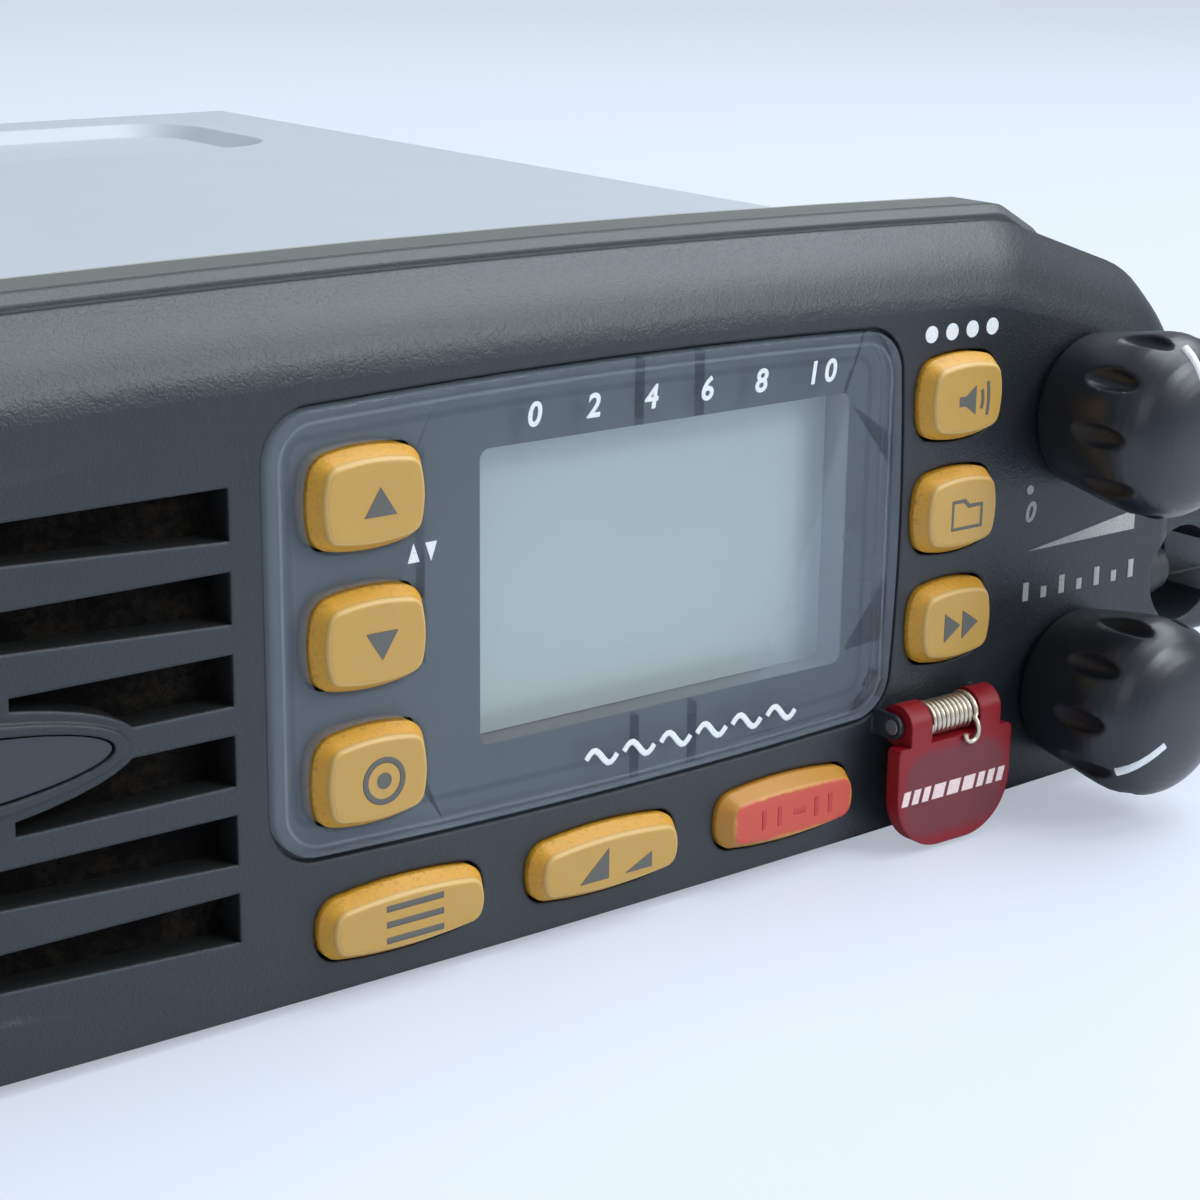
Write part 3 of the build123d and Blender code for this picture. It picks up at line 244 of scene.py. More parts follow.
# ------------------------------------------------------------------ finishes
def bezel_finish():
    """Dark slate plastic with a leathery spark grain, creases beside the grille, dust specks, and painted
    shade in the slots and towards the knobs on the right.
    """
    finish = Finish("bezel_plastic", Specular_IOR_Level=0.40)
    blotch = finish.noise(22.0, 4.0)
    speck = finish.noise(1.1, 5.0, 0.7)
    x = finish.axis("X")
    y = finish.axis("Y")
    z = finish.axis("Z")
    base = finish.blend((0.015, 0.018, 0.0215), (0.022, 0.0255, 0.030), blotch)
    dusty = finish.blend(base, (0.11, 0.112, 0.108), speck.step(0.62, 0.82) * 0.22)
    # painted shade: the face darkens towards the knobs on the right, where they shade it
    wear_and_shade = finish.blend(dusty, (0.010, 0.012, 0.015), x.step(45.0, 75.0) * 0.7)
    lip = y.step(LIP_DEPTH, LIP_DEPTH + 0.2)
    wear_and_shade = finish.blend(wear_and_shade, (0.060, 0.064, 0.066), lip)
    # painted shade: the slots' walls are painted nearly black
    slot_shade = y.step(0.25, 0.6) * z.step(GRILLE_Z[0], GRILLE_Z[0] + 1.0)
    slot_shade = slot_shade * (1.0 - z.step(GRILLE_Z[1] - 1.0, GRILLE_Z[1])) * x.step(GRILLE_X[0], GRILLE_X[0] + 1.5)
    slot_shade = slot_shade * (1.0 - x.step(GRILLE_X[1] - 1.0, GRILLE_X[1]))
    finish.set(Base_Color=finish.blend(wear_and_shade, (0.004, 0.004, 0.004), slot_shade))
    grain = finish.noise(0.45, 2.0, 0.5, 1.2)
    fine = finish.noise(0.22, 2.0, 0.6)
    finish.set(Roughness=0.31 + 0.08 * fine + 0.06 * blotch + 0.12 * lip + 0.3 * slot_shade)
    # two creases that fan out from the grille to the left
    upper = (z - (51.2 + 0.09 * (x + 41.0))).step(-0.9, 0.4)
    lower = ((6.4 - 0.12 * (x + 44.0)) - z).step(-0.9, 0.4)
    crease = (upper + lower) * (1.0 - x.step(-46.0, -30.0))
    creased = finish.bump(crease, 0.35, finish.rounded(0.45))
    finish.set(Normal=finish.bump(grain * 0.7 + fine * 0.3, 0.075, creased))
    return finish


def key_finish(name, colour, grime):
    """Amber key plastic, cleaner on its face and speckled with dirt round its sides, with a painted
    highlight along its top edge.
    """
    finish = Finish(name, Coat_Weight=0.12, Coat_Roughness=0.35)
    blotch = finish.noise(5.0, 3.0)
    speck = finish.noise(0.35, 4.0, 0.7)
    depth = finish.axis("Y")
    side = depth.step(-1.75, -1.35)
    foot = depth.step(-0.9, -0.2)
    # painted highlight: a paler line along the key's rounded top edge
    edge = depth.step(-2.0, -1.93) * (1.0 - depth.step(-1.75, -1.6))
    base = finish.blend(tuple(c * 0.95 for c in colour), tuple(c * 1.05 for c in colour), blotch)
    rich = finish.blend(base, (0.59, 0.290, 0.024), side)
    edge_highlit = finish.blend(rich, (0.62, 0.40, 0.13), edge * 0.6)
    spotted = finish.blend(edge_highlit, grime, speck.step(0.50, 0.68) * (0.04 + 0.2 * side + 0.5 * foot))
    finish.set(Base_Color=spotted, Roughness=0.42 + 0.12 * speck)
    finish.set(Normal=finish.bump(finish.noise(0.3, 2.0), 0.008, finish.rounded(0.25)))
    return finish


def quick_key_finish():
    """The red-topped key: amber sides, red pad with a rubbed edge."""
    finish = Finish("quick_key_plastic", Coat_Weight=0.12, Coat_Roughness=0.3)
    speck = finish.noise(0.5, 4.0, 0.7)
    x, _, z = middle_of("key_quick_channel")
    half_width, half_height = half_of("key_quick_channel")
    pad_half = (half_width - 2.25, half_height - 1.2)
    edge = finish.distance((x, z), pad_half, 1.1) + 0.8 * (speck - 0.5)
    pad = (1.0 - edge.step(-0.2, 0.2)) * (1.0 - finish.axis("Y").step(-1.95, -1.75))
    amber = finish.blend((0.45, 0.195, 0.022), (0.51, 0.235, 0.032), speck)
    red = finish.blend((0.44, 0.045, 0.024), (0.50, 0.060, 0.032), speck)
    finish.set(Base_Color=finish.blend(amber, red, pad), Roughness=0.42 + 0.1 * speck)
    finish.set(Normal=finish.bump(finish.noise(0.3, 2.0), 0.008, finish.rounded(0.25)))
    return finish


def clear_lens_finish():
    """Polished clear plate: see-through, with a faint grey haze, soft reflections, a bevelled edge, and a
    painted highlight on the bevel and in a thin line inside the edge.
    """
    finish = Finish("lens_clear", Roughness=0.06, IOR=1.49)
    haze = finish.noise(9.0, 4.0)
    finish.set(Base_Color=finish.blend((0.30, 0.34, 0.40), (0.40, 0.45, 0.52), haze))
    edge = finish.distance(LENS_MIDDLE, LENS_HALF, LENS_CORNER, LENS_BOW)
    bevel = edge.step(-0.9, -0.2)
    # painted highlight: a thin bright line about 1 mm inside the edge
    line = edge.step(-1.3, -1.15) * (1.0 - edge.step(-1.0, -0.85))
    flat = finish.node("ShaderNodeNewGeometry", {}, {}, 3)
    finish.set(Normal=finish.bump(1.0 - bevel, 0.05, flat))
    clear = finish.node("ShaderNodeBsdfTransparent", {}, {"Color": (0.95, 0.97, 0.98)})
    gloss = finish.node("ShaderNodeLayerWeight", {}, {"Blend": 0.30})
    # the bevel and the highlight line are painted lighter by making the plate more opaque there
    cover = 0.05 + 0.40 * gloss + 0.02 * haze + 0.05 * bevel + 0.14 * line
    mixed = finish.node("ShaderNodeMixShader", {}, {0: cover, 1: clear,
                                                    2: Wire(finish, finish.surface.outputs[0])})
    finish.tree.links.new(mixed.socket, finish.output.inputs["Surface"])
    return finish


def mask_finish():
    """Blue-grey printed film with a darker line round its border."""
    finish = Finish("mask_print")
    haze = finish.noise(18.0, 3.0)
    edge = finish.distance(LENS_MIDDLE, LENS_HALF, LENS_CORNER, LENS_BOW)
    line = edge.step(-3.1, -2.8) * (1.0 - edge.step(-2.5, -2.2))
    body = finish.blend((0.102, 0.118, 0.130), (0.114, 0.131, 0.145), haze)
    finish.set(Base_Color=finish.blend(body, (0.062, 0.076, 0.095), line * 0.7))
    finish.set(Roughness=0.42 + 0.06 * haze)
    return finish


def tinted_cover_finish():
    """Dark red tinted plastic, a little clear; its rim is painted brighter, as light shining through the
    thin plastic there would make it.
    """
    finish = Finish("cover_plastic", IOR=1.49, Specular_IOR_Level=0.3)
    haze = finish.noise(3.0, 4.0)
    scratch = finish.noise(0.6, 3.0)
    x = middle_of("distress_cover")[0]
    half_width = half_of("distress_cover")[0]
    # painted light: the rim is painted a brighter red where light would shine through the thin plastic
    rim = finish.distance((x, 6.3), (half_width, 5.6), 4.0).step(-1.8, -0.4)
    dull = finish.blend((0.115, 0.018, 0.025), (0.150, 0.024, 0.032), haze)
    finish.set(Base_Color=finish.blend(dull, (0.20, 0.004, 0.008), rim))
    finish.set(Roughness=0.30 + 0.18 * scratch)
    finish.set(Normal=finish.bump(scratch, 0.006, finish.rounded(0.3)))
    return finish


def cloth_finish():
    """Black woven cloth with brown fuzz and dust."""
    finish = Finish("speaker_cloth", Specular_IOR_Level=0.1)
    fuzz = finish.noise(0.7, 6.0, 0.75)
    patch = finish.noise(7.0, 3.0)
    finish.set(Base_Color=finish.blend((0.002, 0.002, 0.002), (0.017, 0.013, 0.009),
                                       (fuzz * patch * 1.7).step(0.32, 0.70)))
    finish.set(Roughness=0.85 + 0.1 * fuzz)
    finish.set(Normal=finish.bump(fuzz, 0.2))
    return finish


def glass_finish():
    """Unlit display glass: pale green-grey, with a faint wash of tone."""
    finish = Finish("display_glass", Coat_Weight=0.3, Coat_Roughness=0.08)
    wash = finish.noise(30.0, 2.0)
    fine = finish.noise(0.5, 2.0)
    finish.set(Base_Color=finish.blend((0.565, 0.595, 0.53), (0.605, 0.635, 0.57), wash))
    finish.set(Roughness=0.28 + 0.05 * fine)
    finish.set(Normal=finish.node("ShaderNodeNewGeometry", {}, {}, 3))
    return finish


def knob_finish():
    """Black satin knob plastic; its white pointer inlay is a piece of its own."""
    finish = Finish("knob_plastic")
    fine = finish.noise(0.25, 2.0)
    blotch = finish.noise(6.0, 3.0)
    finish.set(Base_Color=finish.blend((0.0085, 0.010, 0.0125), (0.013, 0.015, 0.0185), blotch))
    finish.set(Roughness=0.28 + 0.06 * fine + 0.05 * blotch)
    finish.set(Normal=finish.bump(fine, 0.008))
    return finish


def housing_finish():
    """Olive-grey moulded plastic with a painted highlight: a thin pale line along its rear edge."""
    finish = Finish("housing_plastic")
    blotch = finish.noise(14.0, 3.0)
    fine = finish.noise(0.4, 2.0, 0.6)
    body = finish.blend((0.090, 0.094, 0.086), (0.104, 0.109, 0.100), blotch)
    rear = (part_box("front_housing")[1].y - FACE) / MM
    # painted highlight: a thin pale line where the top rear edge catches the light
    line = finish.axis("Y").step(rear - 0.55, rear - 0.4)
    finish.set(Base_Color=finish.blend(body, (0.42, 0.41, 0.36), line * 0.7))
    finish.set(Roughness=0.42 + 0.1 * fine)
    finish.set(Normal=finish.bump(fine, 0.02, finish.rounded(0.3)))
    return finish


def case_finish():
    """Light grey painted case: smooth satin with a fine orange peel."""
    finish = Finish("case_plastic")
    blotch = finish.noise(40.0, 3.0)
    fine = finish.noise(0.7, 3.0)
    finish.set(Base_Color=finish.blend((0.37, 0.40, 0.435), (0.41, 0.445, 0.48), blotch))
    finish.set(Roughness=0.42 + 0.08 * fine)
    finish.set(Normal=finish.bump(fine, 0.012, finish.rounded(0.6)))
    return finish


def board_finish():
    """Green solder mask with copper tracks and pads."""
    finish = Finish("circuit_board", Coat_Weight=0.4, Coat_Roughness=0.2)
    track = finish.cells(2.2, "DISTANCE_TO_EDGE")
    line = 1.0 - track.step(0.03, 0.08)
    finish.set(Base_Color=finish.blend((0.012, 0.07, 0.03), (0.03, 0.13, 0.05), line))
    finish.set(Roughness=0.35 + 0.1 * line)
    finish.set(Normal=finish.bump(line, 0.03))
    return finish


def print_finish(name, colour, fade=0.35):
    """Printed marks with a slightly broken edge."""
    finish = Finish(name)
    # in a print this mask is only the print's wear
    wear_and_shade = finish.noise(0.25, 4.0, 0.7)
    finish.set(Base_Color=finish.blend(colour, tuple(c * (1 - fade) for c in colour),
                                       wear_and_shade.step(0.5, 0.75)))
    finish.set(Roughness=0.5 + 0.2 * wear_and_shade)
    return finish


BEZEL = bezel_finish()
AMBER = key_finish("key_plastic", (0.43, 0.245, 0.048), (0.10, 0.06, 0.025))
QUICK = quick_key_finish()
LENS = clear_lens_finish()
COVER = tinted_cover_finish()
CLOTH = cloth_finish()
DISPLAY = glass_finish()
KNOB = knob_finish()
CASE = case_finish()
BOARD = board_finish()
HOUSING = housing_finish()
MASK = mask_finish()
HOLDER = moulded("holder_plastic", (0.20, 0.19, 0.16), shade=0.08, grain=0.4)
SEAL = moulded("seal_rubber", (0.016, 0.017, 0.018), roughness=0.6, grain=0.4, edge=0.1)
GLAND = moulded("gland_rubber", (0.012, 0.012, 0.013))
MAT = moulded("mat_rubber", (0.09, 0.09, 0.09), shade=0.1, roughness=0.6)
DIFFUSER = moulded("diffuser_plastic", (0.75, 0.75, 0.70), shade=0.04, roughness=0.4, grain=0.6,
                   relief=0.01, edge=0.1)
SINK = moulded("heat_sink_metal", (0.05, 0.053, 0.056), roughness=0.42, relief=0.03)
CONE = moulded("cone_paper", (0.05, 0.045, 0.04), shade=0.2, roughness=0.8, grain=0.8, relief=0.06,
               edge=0.1)
FERRITE = moulded("magnet_ferrite", (0.03, 0.03, 0.032), shade=0.2, grain=0.7, relief=0.03)
RESIN = moulded("module_resin", (0.02, 0.02, 0.022), roughness=0.4)
SLEEVE = moulded("capacitor_sleeve", (0.015, 0.02, 0.08), roughness=0.3, grain=0.8, relief=0.01, edge=0.3)
RIBBON = moulded("ribbon_film", (0.40, 0.22, 0.05), shade=0.1, roughness=0.3, grain=0.9, relief=0.01,
                 edge=0.1)
INSULATOR = moulded("insulator_plastic", (0.75, 0.74, 0.70), shade=0.05, roughness=0.35, grain=0.6,
                    relief=0.01, edge=0.1)
DISTRESS_RED = moulded("red_key_plastic", (0.50, 0.035, 0.03), shade=0.1, roughness=0.4, grain=0.4,
                       relief=0.01, edge=0.25)
STEEL = metal("screw_steel", (0.55, 0.55, 0.56), roughness=0.28)
POT = metal("pot_metal", (0.50, 0.50, 0.50), roughness=0.32)
BRASS = metal("brass_fittings", (0.70, 0.50, 0.22), roughness=0.25)
NICKEL = metal("socket_metal", (0.66, 0.65, 0.62), roughness=0.2)
TIN = metal("shield_tin", (0.62, 0.62, 0.60), grain=0.8)
PRESSED = metal("speaker_metal", (0.06, 0.06, 0.06), roughness=0.4, grain=0.5, relief=0.006, metallic=0.6)
BADGE = metal("badge_metal", (0.050, 0.056, 0.062), roughness=0.42, grain=0.25, metallic=0.55)
WIRE = metal("spring_wire", (0.66, 0.58, 0.47), grain=0.4)
WHITE = print_finish("white_print", (0.66, 0.68, 0.69))
FADED = print_finish("faded_print", (0.34, 0.34, 0.32), fade=0.6)
DARK = print_finish("dark_print", (0.088, 0.086, 0.076), fade=0.15)
RED_PRINT = print_finish("red_print", (0.42, 0.035, 0.03), fade=0.2)
PINK = print_finish("cover_print", (0.72, 0.56, 0.54), fade=0.4)

keys = [n for n in NODES if n.startswith("key_") and n != "key_quick_channel"]
dress(BEZEL, "front_bezel")
dress(AMBER, *keys)
dress(QUICK, "key_quick_channel")
dress(DISTRESS_RED, "distress_button")
dress(LENS, "display_lens")
dress(MASK, "lens_mask")
dress(HOLDER, "lcd_holder")
dress(DISPLAY, "lcd_glass")
dress(DIFFUSER, "lcd_backlight")
dress(MAT, "keypad_mat")
dress(BOARD, "front_board", "main_board")
dress(POT, "volume_pot", "squelch_pot", "volume_shaft", "squelch_shaft")
dress(KNOB, "volume_knob", "squelch_knob")
dress(STEEL, "pot_washers", "pot_nuts", "housing_screws", "case_screws", "heat_sink_screws",
      "socket_screws", "board_screws", "cover_hinge_pin")
dress(COVER, "distress_cover")
dress(WIRE, "cover_spring")
dress(CLOTH, "speaker_cloth")
dress(BADGE, "badge_plate")
dress(PRESSED, "speaker_frame")
dress(CONE, "speaker_cone")
dress(FERRITE, "speaker_magnet")
dress(GLAND, "mic_cord_gland", "power_lead_gland", "signal_lead_glands")
dress(CASE, "rear_case")
dress(HOUSING, "front_housing")
dress(SEAL, "front_gasket", "case_gasket", "heat_sink_gasket")
dress(SINK, "heat_sink")
dress(BRASS, "bracket_inserts", "antenna_contact")
dress(NICKEL, "antenna_socket")
dress(INSULATOR, "antenna_insulator")
dress(TIN, "rf_shield", "synthesizer_shield", "tuned_coils")
dress(RESIN, "power_module")
dress(SLEEVE, "filter_capacitors")
dress(RIBBON, "front_ribbon")


# ------------------------------------------------------------------ modelling helpers
PRINT_THICKNESS = 0.06
HEIGHT_OF_FIGURE = 0.7             # share of the font's size


def deselect():
    if bpy.context.object and bpy.context.object.mode != "OBJECT":
        bpy.ops.object.mode_set(mode="OBJECT")
    bpy.ops.object.select_all(action="DESELECT")


def only(piece):
    deselect()
    piece.select_set(True)
    bpy.context.view_layer.objects.active = piece


def settle(piece, name, finish):
    """Bake the piece's place into its mesh, name it and give it its finish."""
    only(piece)
    bpy.ops.object.transform_apply(location=True, rotation=True, scale=True)
    piece.name = name
    piece.data.name = name
    piece.data.materials.clear()
    piece.data.materials.append(finish.material)
    return piece


def apply_modifier(piece, kind, **settings):
    only(piece)
    modifier = piece.modifiers.new(kind.lower(), kind)
    for key, value in settings.items():
        setattr(modifier, key, value)
    bpy.ops.object.modifier_apply(modifier=modifier.name)


def select_faces(piece, test):
    """Leave only the faces selected whose middle and normal pass the test."""
    bpy.ops.object.mode_set(mode="OBJECT")
    mesh = piece.data
    for vertex in mesh.vertices:
        vertex.select = False
    for edge in mesh.edges:
        edge.select = False
    for face in mesh.polygons:
        face.select = test(face.center, face.normal)
    bpy.ops.object.mode_set(mode="EDIT")
    bpy.ops.mesh.select_mode(type="FACE")


def joined(pieces):
    deselect()
    for piece in pieces:
        piece.select_set(True)
    bpy.context.view_layer.objects.active = pieces[0]
    bpy.ops.object.join()
    return pieces[0]


def drawn(lines, closed, **settings):
    """Mesh of a curve with these settings, made of straight stretches through points in metres."""
    curve = bpy.data.curves.new("drawn", "CURVE")
    for key, value in settings.items():
        setattr(curve, key, value)
    for line in lines:
        spline = curve.splines.new("POLY")
        spline.points.add(len(line) - 1)
        for point, place in zip(spline.points, line):
            point.co = (*place, 1.0)
        spline.use_cyclic_u = closed
    drawing = bpy.data.objects.new("drawn", curve)
    bpy.context.scene.collection.objects.link(drawing)
    only(drawing)
    bpy.ops.object.convert(target="MESH")
    return bpy.context.object


def round_wire(lines, width, resolution, closed=False):
    """Round wires, width millimetres thick, through points in metres."""
    return drawn(lines, closed, dimensions="3D", bevel_depth=width / 2 * MM, bevel_resolution=resolution,
                 use_fill_caps=True)


def flat(line):
    """Points of a drawing in its own X and Y, from millimetres to metres."""
    return [(x * MM, y * MM, 0.0) for x, y in line]


def strokes(lines, width, closed=False):
    """Flat drawing of round-ended strokes, from lines in millimetres."""
    return round_wire([flat(line) for line in lines], width, 2, closed)


def filled(shapes):
    """Flat shapes with straight sides, from outlines in millimetres."""
    return joined([drawn([flat(outline)], True, dimensions="2D", fill_mode="BOTH",
                         extrude=PRINT_THICKNESS / 2 * MM) for outline in shapes])


def numerals(text, height, slant, spacing, weight):
    """Plain numerals of the given height in millimetres, centred."""
    bpy.ops.object.select_all(action="DESELECT")
    bpy.ops.object.text_add()
    figures = bpy.context.object
    figures.data.body = text
    figures.data.size = height * MM / HEIGHT_OF_FIGURE
    figures.data.align_x = "CENTER"
    figures.data.align_y = "CENTER"
    figures.data.shear = slant
    figures.data.space_character = spacing
    figures.data.offset = weight * MM
    figures.data.extrude = PRINT_THICKNESS / 2 * MM
    bpy.ops.object.convert(target="MESH")
    return bpy.context.object


def printed(name, drawing, place, finish, body, squeeze=1.0):
    """Lay a flat drawing on a surface that faces the user, and let it ride on a body."""
    drawing.scale.z = squeeze
    drawing.rotation_euler = BACK
    drawing.location = place
    settle(drawing, name, finish)
    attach(drawing, body)


def ring(radius, count=40, middle=(0.0, 0.0)):
    return [(middle[0] + radius * math.cos(2 * math.pi * i / count),
             middle[1] + radius * math.sin(2 * math.pi * i / count)) for i in range(count)]


# ------------------------------------------------------------------ knobs
POINTER_CLOCK = {"volume": 350.0, "squelch": 235.0}     # degrees clockwise from straight up
# radius and distance in front of the face, from the foot over the shoulder to the middle
KNOB_PROFILE = [(7.9, 0.7), (8.05, 1.1), (8.45, 3.5), (8.88, 6.0), (9.26, 8.2), (9.46, 9.6),
                (9.54, 10.8), (9.42, 12.0), (9.10, 13.1), (8.58, 14.05), (7.88, 14.85), (7.05, 15.45),
                (6.05, 15.92), (4.95, 16.28), (3.75, 16.55), (2.5, 16.75), (1.25, 16.88), (0.3, 16.92)]
POINTER_STRETCH = KNOB_PROFILE[9:15]
POINTER_WIDTH = 1.24
POINTER_SUNK = 0.45                # how far its middle lies under the dome
SCOOPS = 10
SCOOP_HALF = (1.35, 4.8, 1.6)      # half its width, length and depth
SCOOP_RADIUS = 9.95                # of its middle, from the knob's axis
SCOOP_FRONT = 9.2                  # of its middle, in front of the face
SCOOP_TIP = math.radians(4.0)      # inwards towards the front, so it is deepest near the shoulder


def turned_knob(name):
    """Flared, domed knob with ten scooped finger grips."""
    x, _, z = middle_of(f"{name}_shaft")
    deselect()
    radius, depth = KNOB_PROFILE[0]
    foot = 0.06
    bpy.ops.mesh.primitive_cylinder_add(vertices=120, radius=radius * MM, depth=foot * MM,
                                        location=at(x, foot / 2 - depth, z), rotation=BACK)
    knob = bpy.context.object
    bpy.ops.object.transform_apply(location=True, rotation=True, scale=True)
    bpy.ops.object.mode_set(mode="EDIT")
    select_faces(knob, lambda middle, normal: normal.y < -0.9)
    for next_radius, next_depth in KNOB_PROFILE[1:]:
        bpy.ops.mesh.extrude_region_move(
            TRANSFORM_OT_translate={"value": (0.0, (depth - next_depth) * MM, 0.0)})
        bpy.ops.transform.resize(value=(next_radius / radius, 1.0, next_radius / radius),
                                 center_override=at(x, -next_depth, z))
        radius, depth = next_radius, next_depth
    bpy.ops.object.mode_set(mode="OBJECT")
    cutters = []
    for index in range(SCOOPS):
        deselect()
        bpy.ops.mesh.primitive_uv_sphere_add(segments=24, ring_count=16, radius=1.0 * MM)
        cutter = bpy.context.object
        cutter.scale = SCOOP_HALF
        bpy.ops.object.transform_apply(location=False, rotation=False, scale=True)
        place = Matrix.Rotation(2 * math.pi * (index + 0.5) / SCOOPS, 4, "Y")
        place = place @ Matrix.Translation(Vector((0.0, -SCOOP_FRONT * MM, SCOOP_RADIUS * MM)))
        place = place @ Matrix.Rotation(SCOOP_TIP, 4, "X")
        cutter.matrix_world = Matrix.Translation(at(x, 0.0, z)) @ place
        cutters.append(cutter)
    cutter = joined(cutters)
    bpy.ops.object.transform_apply(location=True, rotation=True, scale=True)
    apply_modifier(knob, "BOOLEAN", operation="DIFFERENCE", object=cutter, solver="EXACT")
    bpy.data.objects.remove(cutter)
    apply_modifier(knob, "REMESH", mode="VOXEL", voxel_size=0.22 * MM, use_smooth_shade=True)
    apply_modifier(knob, "SMOOTH", factor=0.5, iterations=5)
    settle(knob, f"{name}_knob_body", KNOB)
    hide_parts(f"{name}_knob")
    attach(knob, f"{name}_control")


def pointer(name):
    """White inlay that runs from the knob's shoulder towards the middle of its dome."""
    x, _, z = middle_of(f"{name}_shaft")
    turn = math.radians(POINTER_CLOCK[name])
    line = [at(x + radius * math.sin(turn), POINTER_SUNK - depth, z + radius * math.cos(turn))
            for radius, depth in POINTER_STRETCH]
    inlay = round_wire([line], POINTER_WIDTH, 4)
    settle(inlay, f"{name}_pointer", WHITE)
    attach(inlay, f"{name}_control")


for knob_name in POINTER_CLOCK:
    turned_knob(knob_name)
    pointer(knob_name)


# ------------------------------------------------------------------ hinge spring of the red cover
COIL_TURNS = 10
COIL_STEPS = 20                    # points to each turn
COIL_RADIUS = 1.60
COIL_OVERHANG = 0.05               # past the plain sleeve at each end
LOOP_WIDER = 0.25                  # how much wider the last turn at each end grows
SPRING_WIRE = 0.54                 # thickness
HOOK_RADIUS = 0.9
LEG_FROM_END = 0.35
LEG = ((-4.8, 13.2), (-5.2, 12.8), (-5.42, 12.3), (-5.42, 11.9))      # depth and height of its points


def hinge_spring():
    """Coil round the hinge pin, with a wide loop at each end and a hooked leg over the cover."""
    low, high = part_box("cover_spring")
    start = (low.x - MIDDLE) / MM - COIL_OVERHANG
    end = (high.x - MIDDLE) / MM + COIL_OVERHANG
    _, hinge_depth, hinge_z = middle_of("cover_hinge_pin")
    points = []
    for step in range(COIL_TURNS * COIL_STEPS + 1):
        turn = step / COIL_STEPS
        from_end = min(turn, COIL_TURNS - turn)
        radius = COIL_RADIUS + LOOP_WIDER * max(0.0, 1.0 - from_end)
        angle = 2 * math.pi * turn + math.pi
        points.append(at(start + (end - start) * turn / COIL_TURNS,
                         hinge_depth + radius * math.cos(angle), hinge_z + radius * math.sin(angle)))
    x = end - LEG_FROM_END
    points += [at(x, depth, height) for depth, height in LEG]
    depth, height = LEG[-1]
    for step in range(1, 9):
        angle = math.pi * step / 8
        points.append(at(x - HOOK_RADIUS * (1.0 - math.cos(angle)), depth,
                         height - HOOK_RADIUS * math.sin(angle)))
    coil = round_wire([points], SPRING_WIRE, 3)
    for face in coil.data.polygons:
        face.use_smooth = True
    settle(coil, "hinge_coil", WIRE)
    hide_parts("cover_spring")
    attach(coil, "radio")


hinge_spring()


# ------------------------------------------------------------------ printed marks
UPRIGHT_KEY_SHIFT = (0.4, -0.2)    # of a mark from the key's middle
ROW_KEY_SHIFT = (0.3, -0.05)
THIN = 0.08                        # flattens round strokes to a print's height


def key_mark(name, key, drawing, finish=DARK, shift=UPRIGHT_KEY_SHIFT, squeeze=1.0):
    """Lay a drawing on the middle of a key's top."""
    x, _, z = middle_of(key)
    place = at(x + shift[0], KEY_TOP, z + shift[1])
    printed(name, drawing, place, finish, f"{key}_cap", squeeze)


def key_marks():
    """Simple dark symbols on the keys."""
    up = [(-1.6, -1.1), (1.6, -1.1), (0.0, 1.4)]
    down = [(x, -y) for x, y in up]
    key_mark("mark_up", "key_up", filled([up]))
    key_mark("mark_down", "key_down", filled([down]))
    dot = filled([ring(0.75)])
    key_mark("mark_select", "key_select", joined([strokes([ring(1.9)], 0.55, True), dot]), squeeze=THIN)
    bars = [[(-3.0, y), (3.0, y)] for y in (-1.5, 0.0, 1.5)]
    key_mark("mark_menu", "key_menu", strokes(bars, 0.6), shift=ROW_KEY_SHIFT, squeeze=THIN)
    high = [(-4.2, -1.4), (-0.9, -1.4), (-0.9, 1.6)]
    low = [(1.1, -1.4), (4.2, -1.4), (4.2, 0.1)]
    key_mark("mark_power", "key_power_level", filled([high, low]), shift=ROW_KEY_SHIFT)
    lines = [[(x, -1.0), (x, 1.0)] for x in (-4.2, -2.2, 2.6, 4.4)]
    lines.insert(2, [(-0.4, 0.0), (1.2, 0.0)])
    key_mark("mark_quick", "key_quick_channel", strokes(lines, 0.55), RED_PRINT, ROW_KEY_SHIFT, THIN)
    horn = [(-1.9, -0.5), (-1.0, -0.5), (0.4, -1.5), (0.4, 1.5), (-1.0, 0.5), (-1.9, 0.5)]
    sweep = [math.radians(-60 + 15 * i) for i in range(9)]
    waves = [[(1.0 + r + 0.35 * math.cos(a), 1.1 * math.sin(a) * (1 + r)) for a in sweep]
             for r in (0.0, 0.8)]
    key_mark("mark_hailer", "key_hailer", joined([strokes(waves, 0.4), filled([horn])]), squeeze=0.1)
    folder = [(-2.0, -1.4), (2.0, -1.4), (2.0, 0.8), (0.2, 0.8), (-0.4, 1.4), (-2.0, 1.4)]
    key_mark("mark_memory", "key_memory", strokes([folder], 0.45, True), squeeze=0.1)
    arrows = [[(x, -1.5), (x + 2.2, 0.0), (x, 1.5)] for x in (-2.4, 0.1)]
    key_mark("mark_scan", "key_scan", filled(arrows))


def slanted_bars(left, widths, gap):
    """Slanted bars side by side, of these widths."""
    half_height = 0.75
    lean = 0.2
    bars = []
    for width in widths:
        right = left + width
        bars.append([(left - lean, -half_height), (right - lean, -half_height),
                     (right + lean, half_height), (left + lean, half_height)])
        left = right + gap
    return filled(bars)


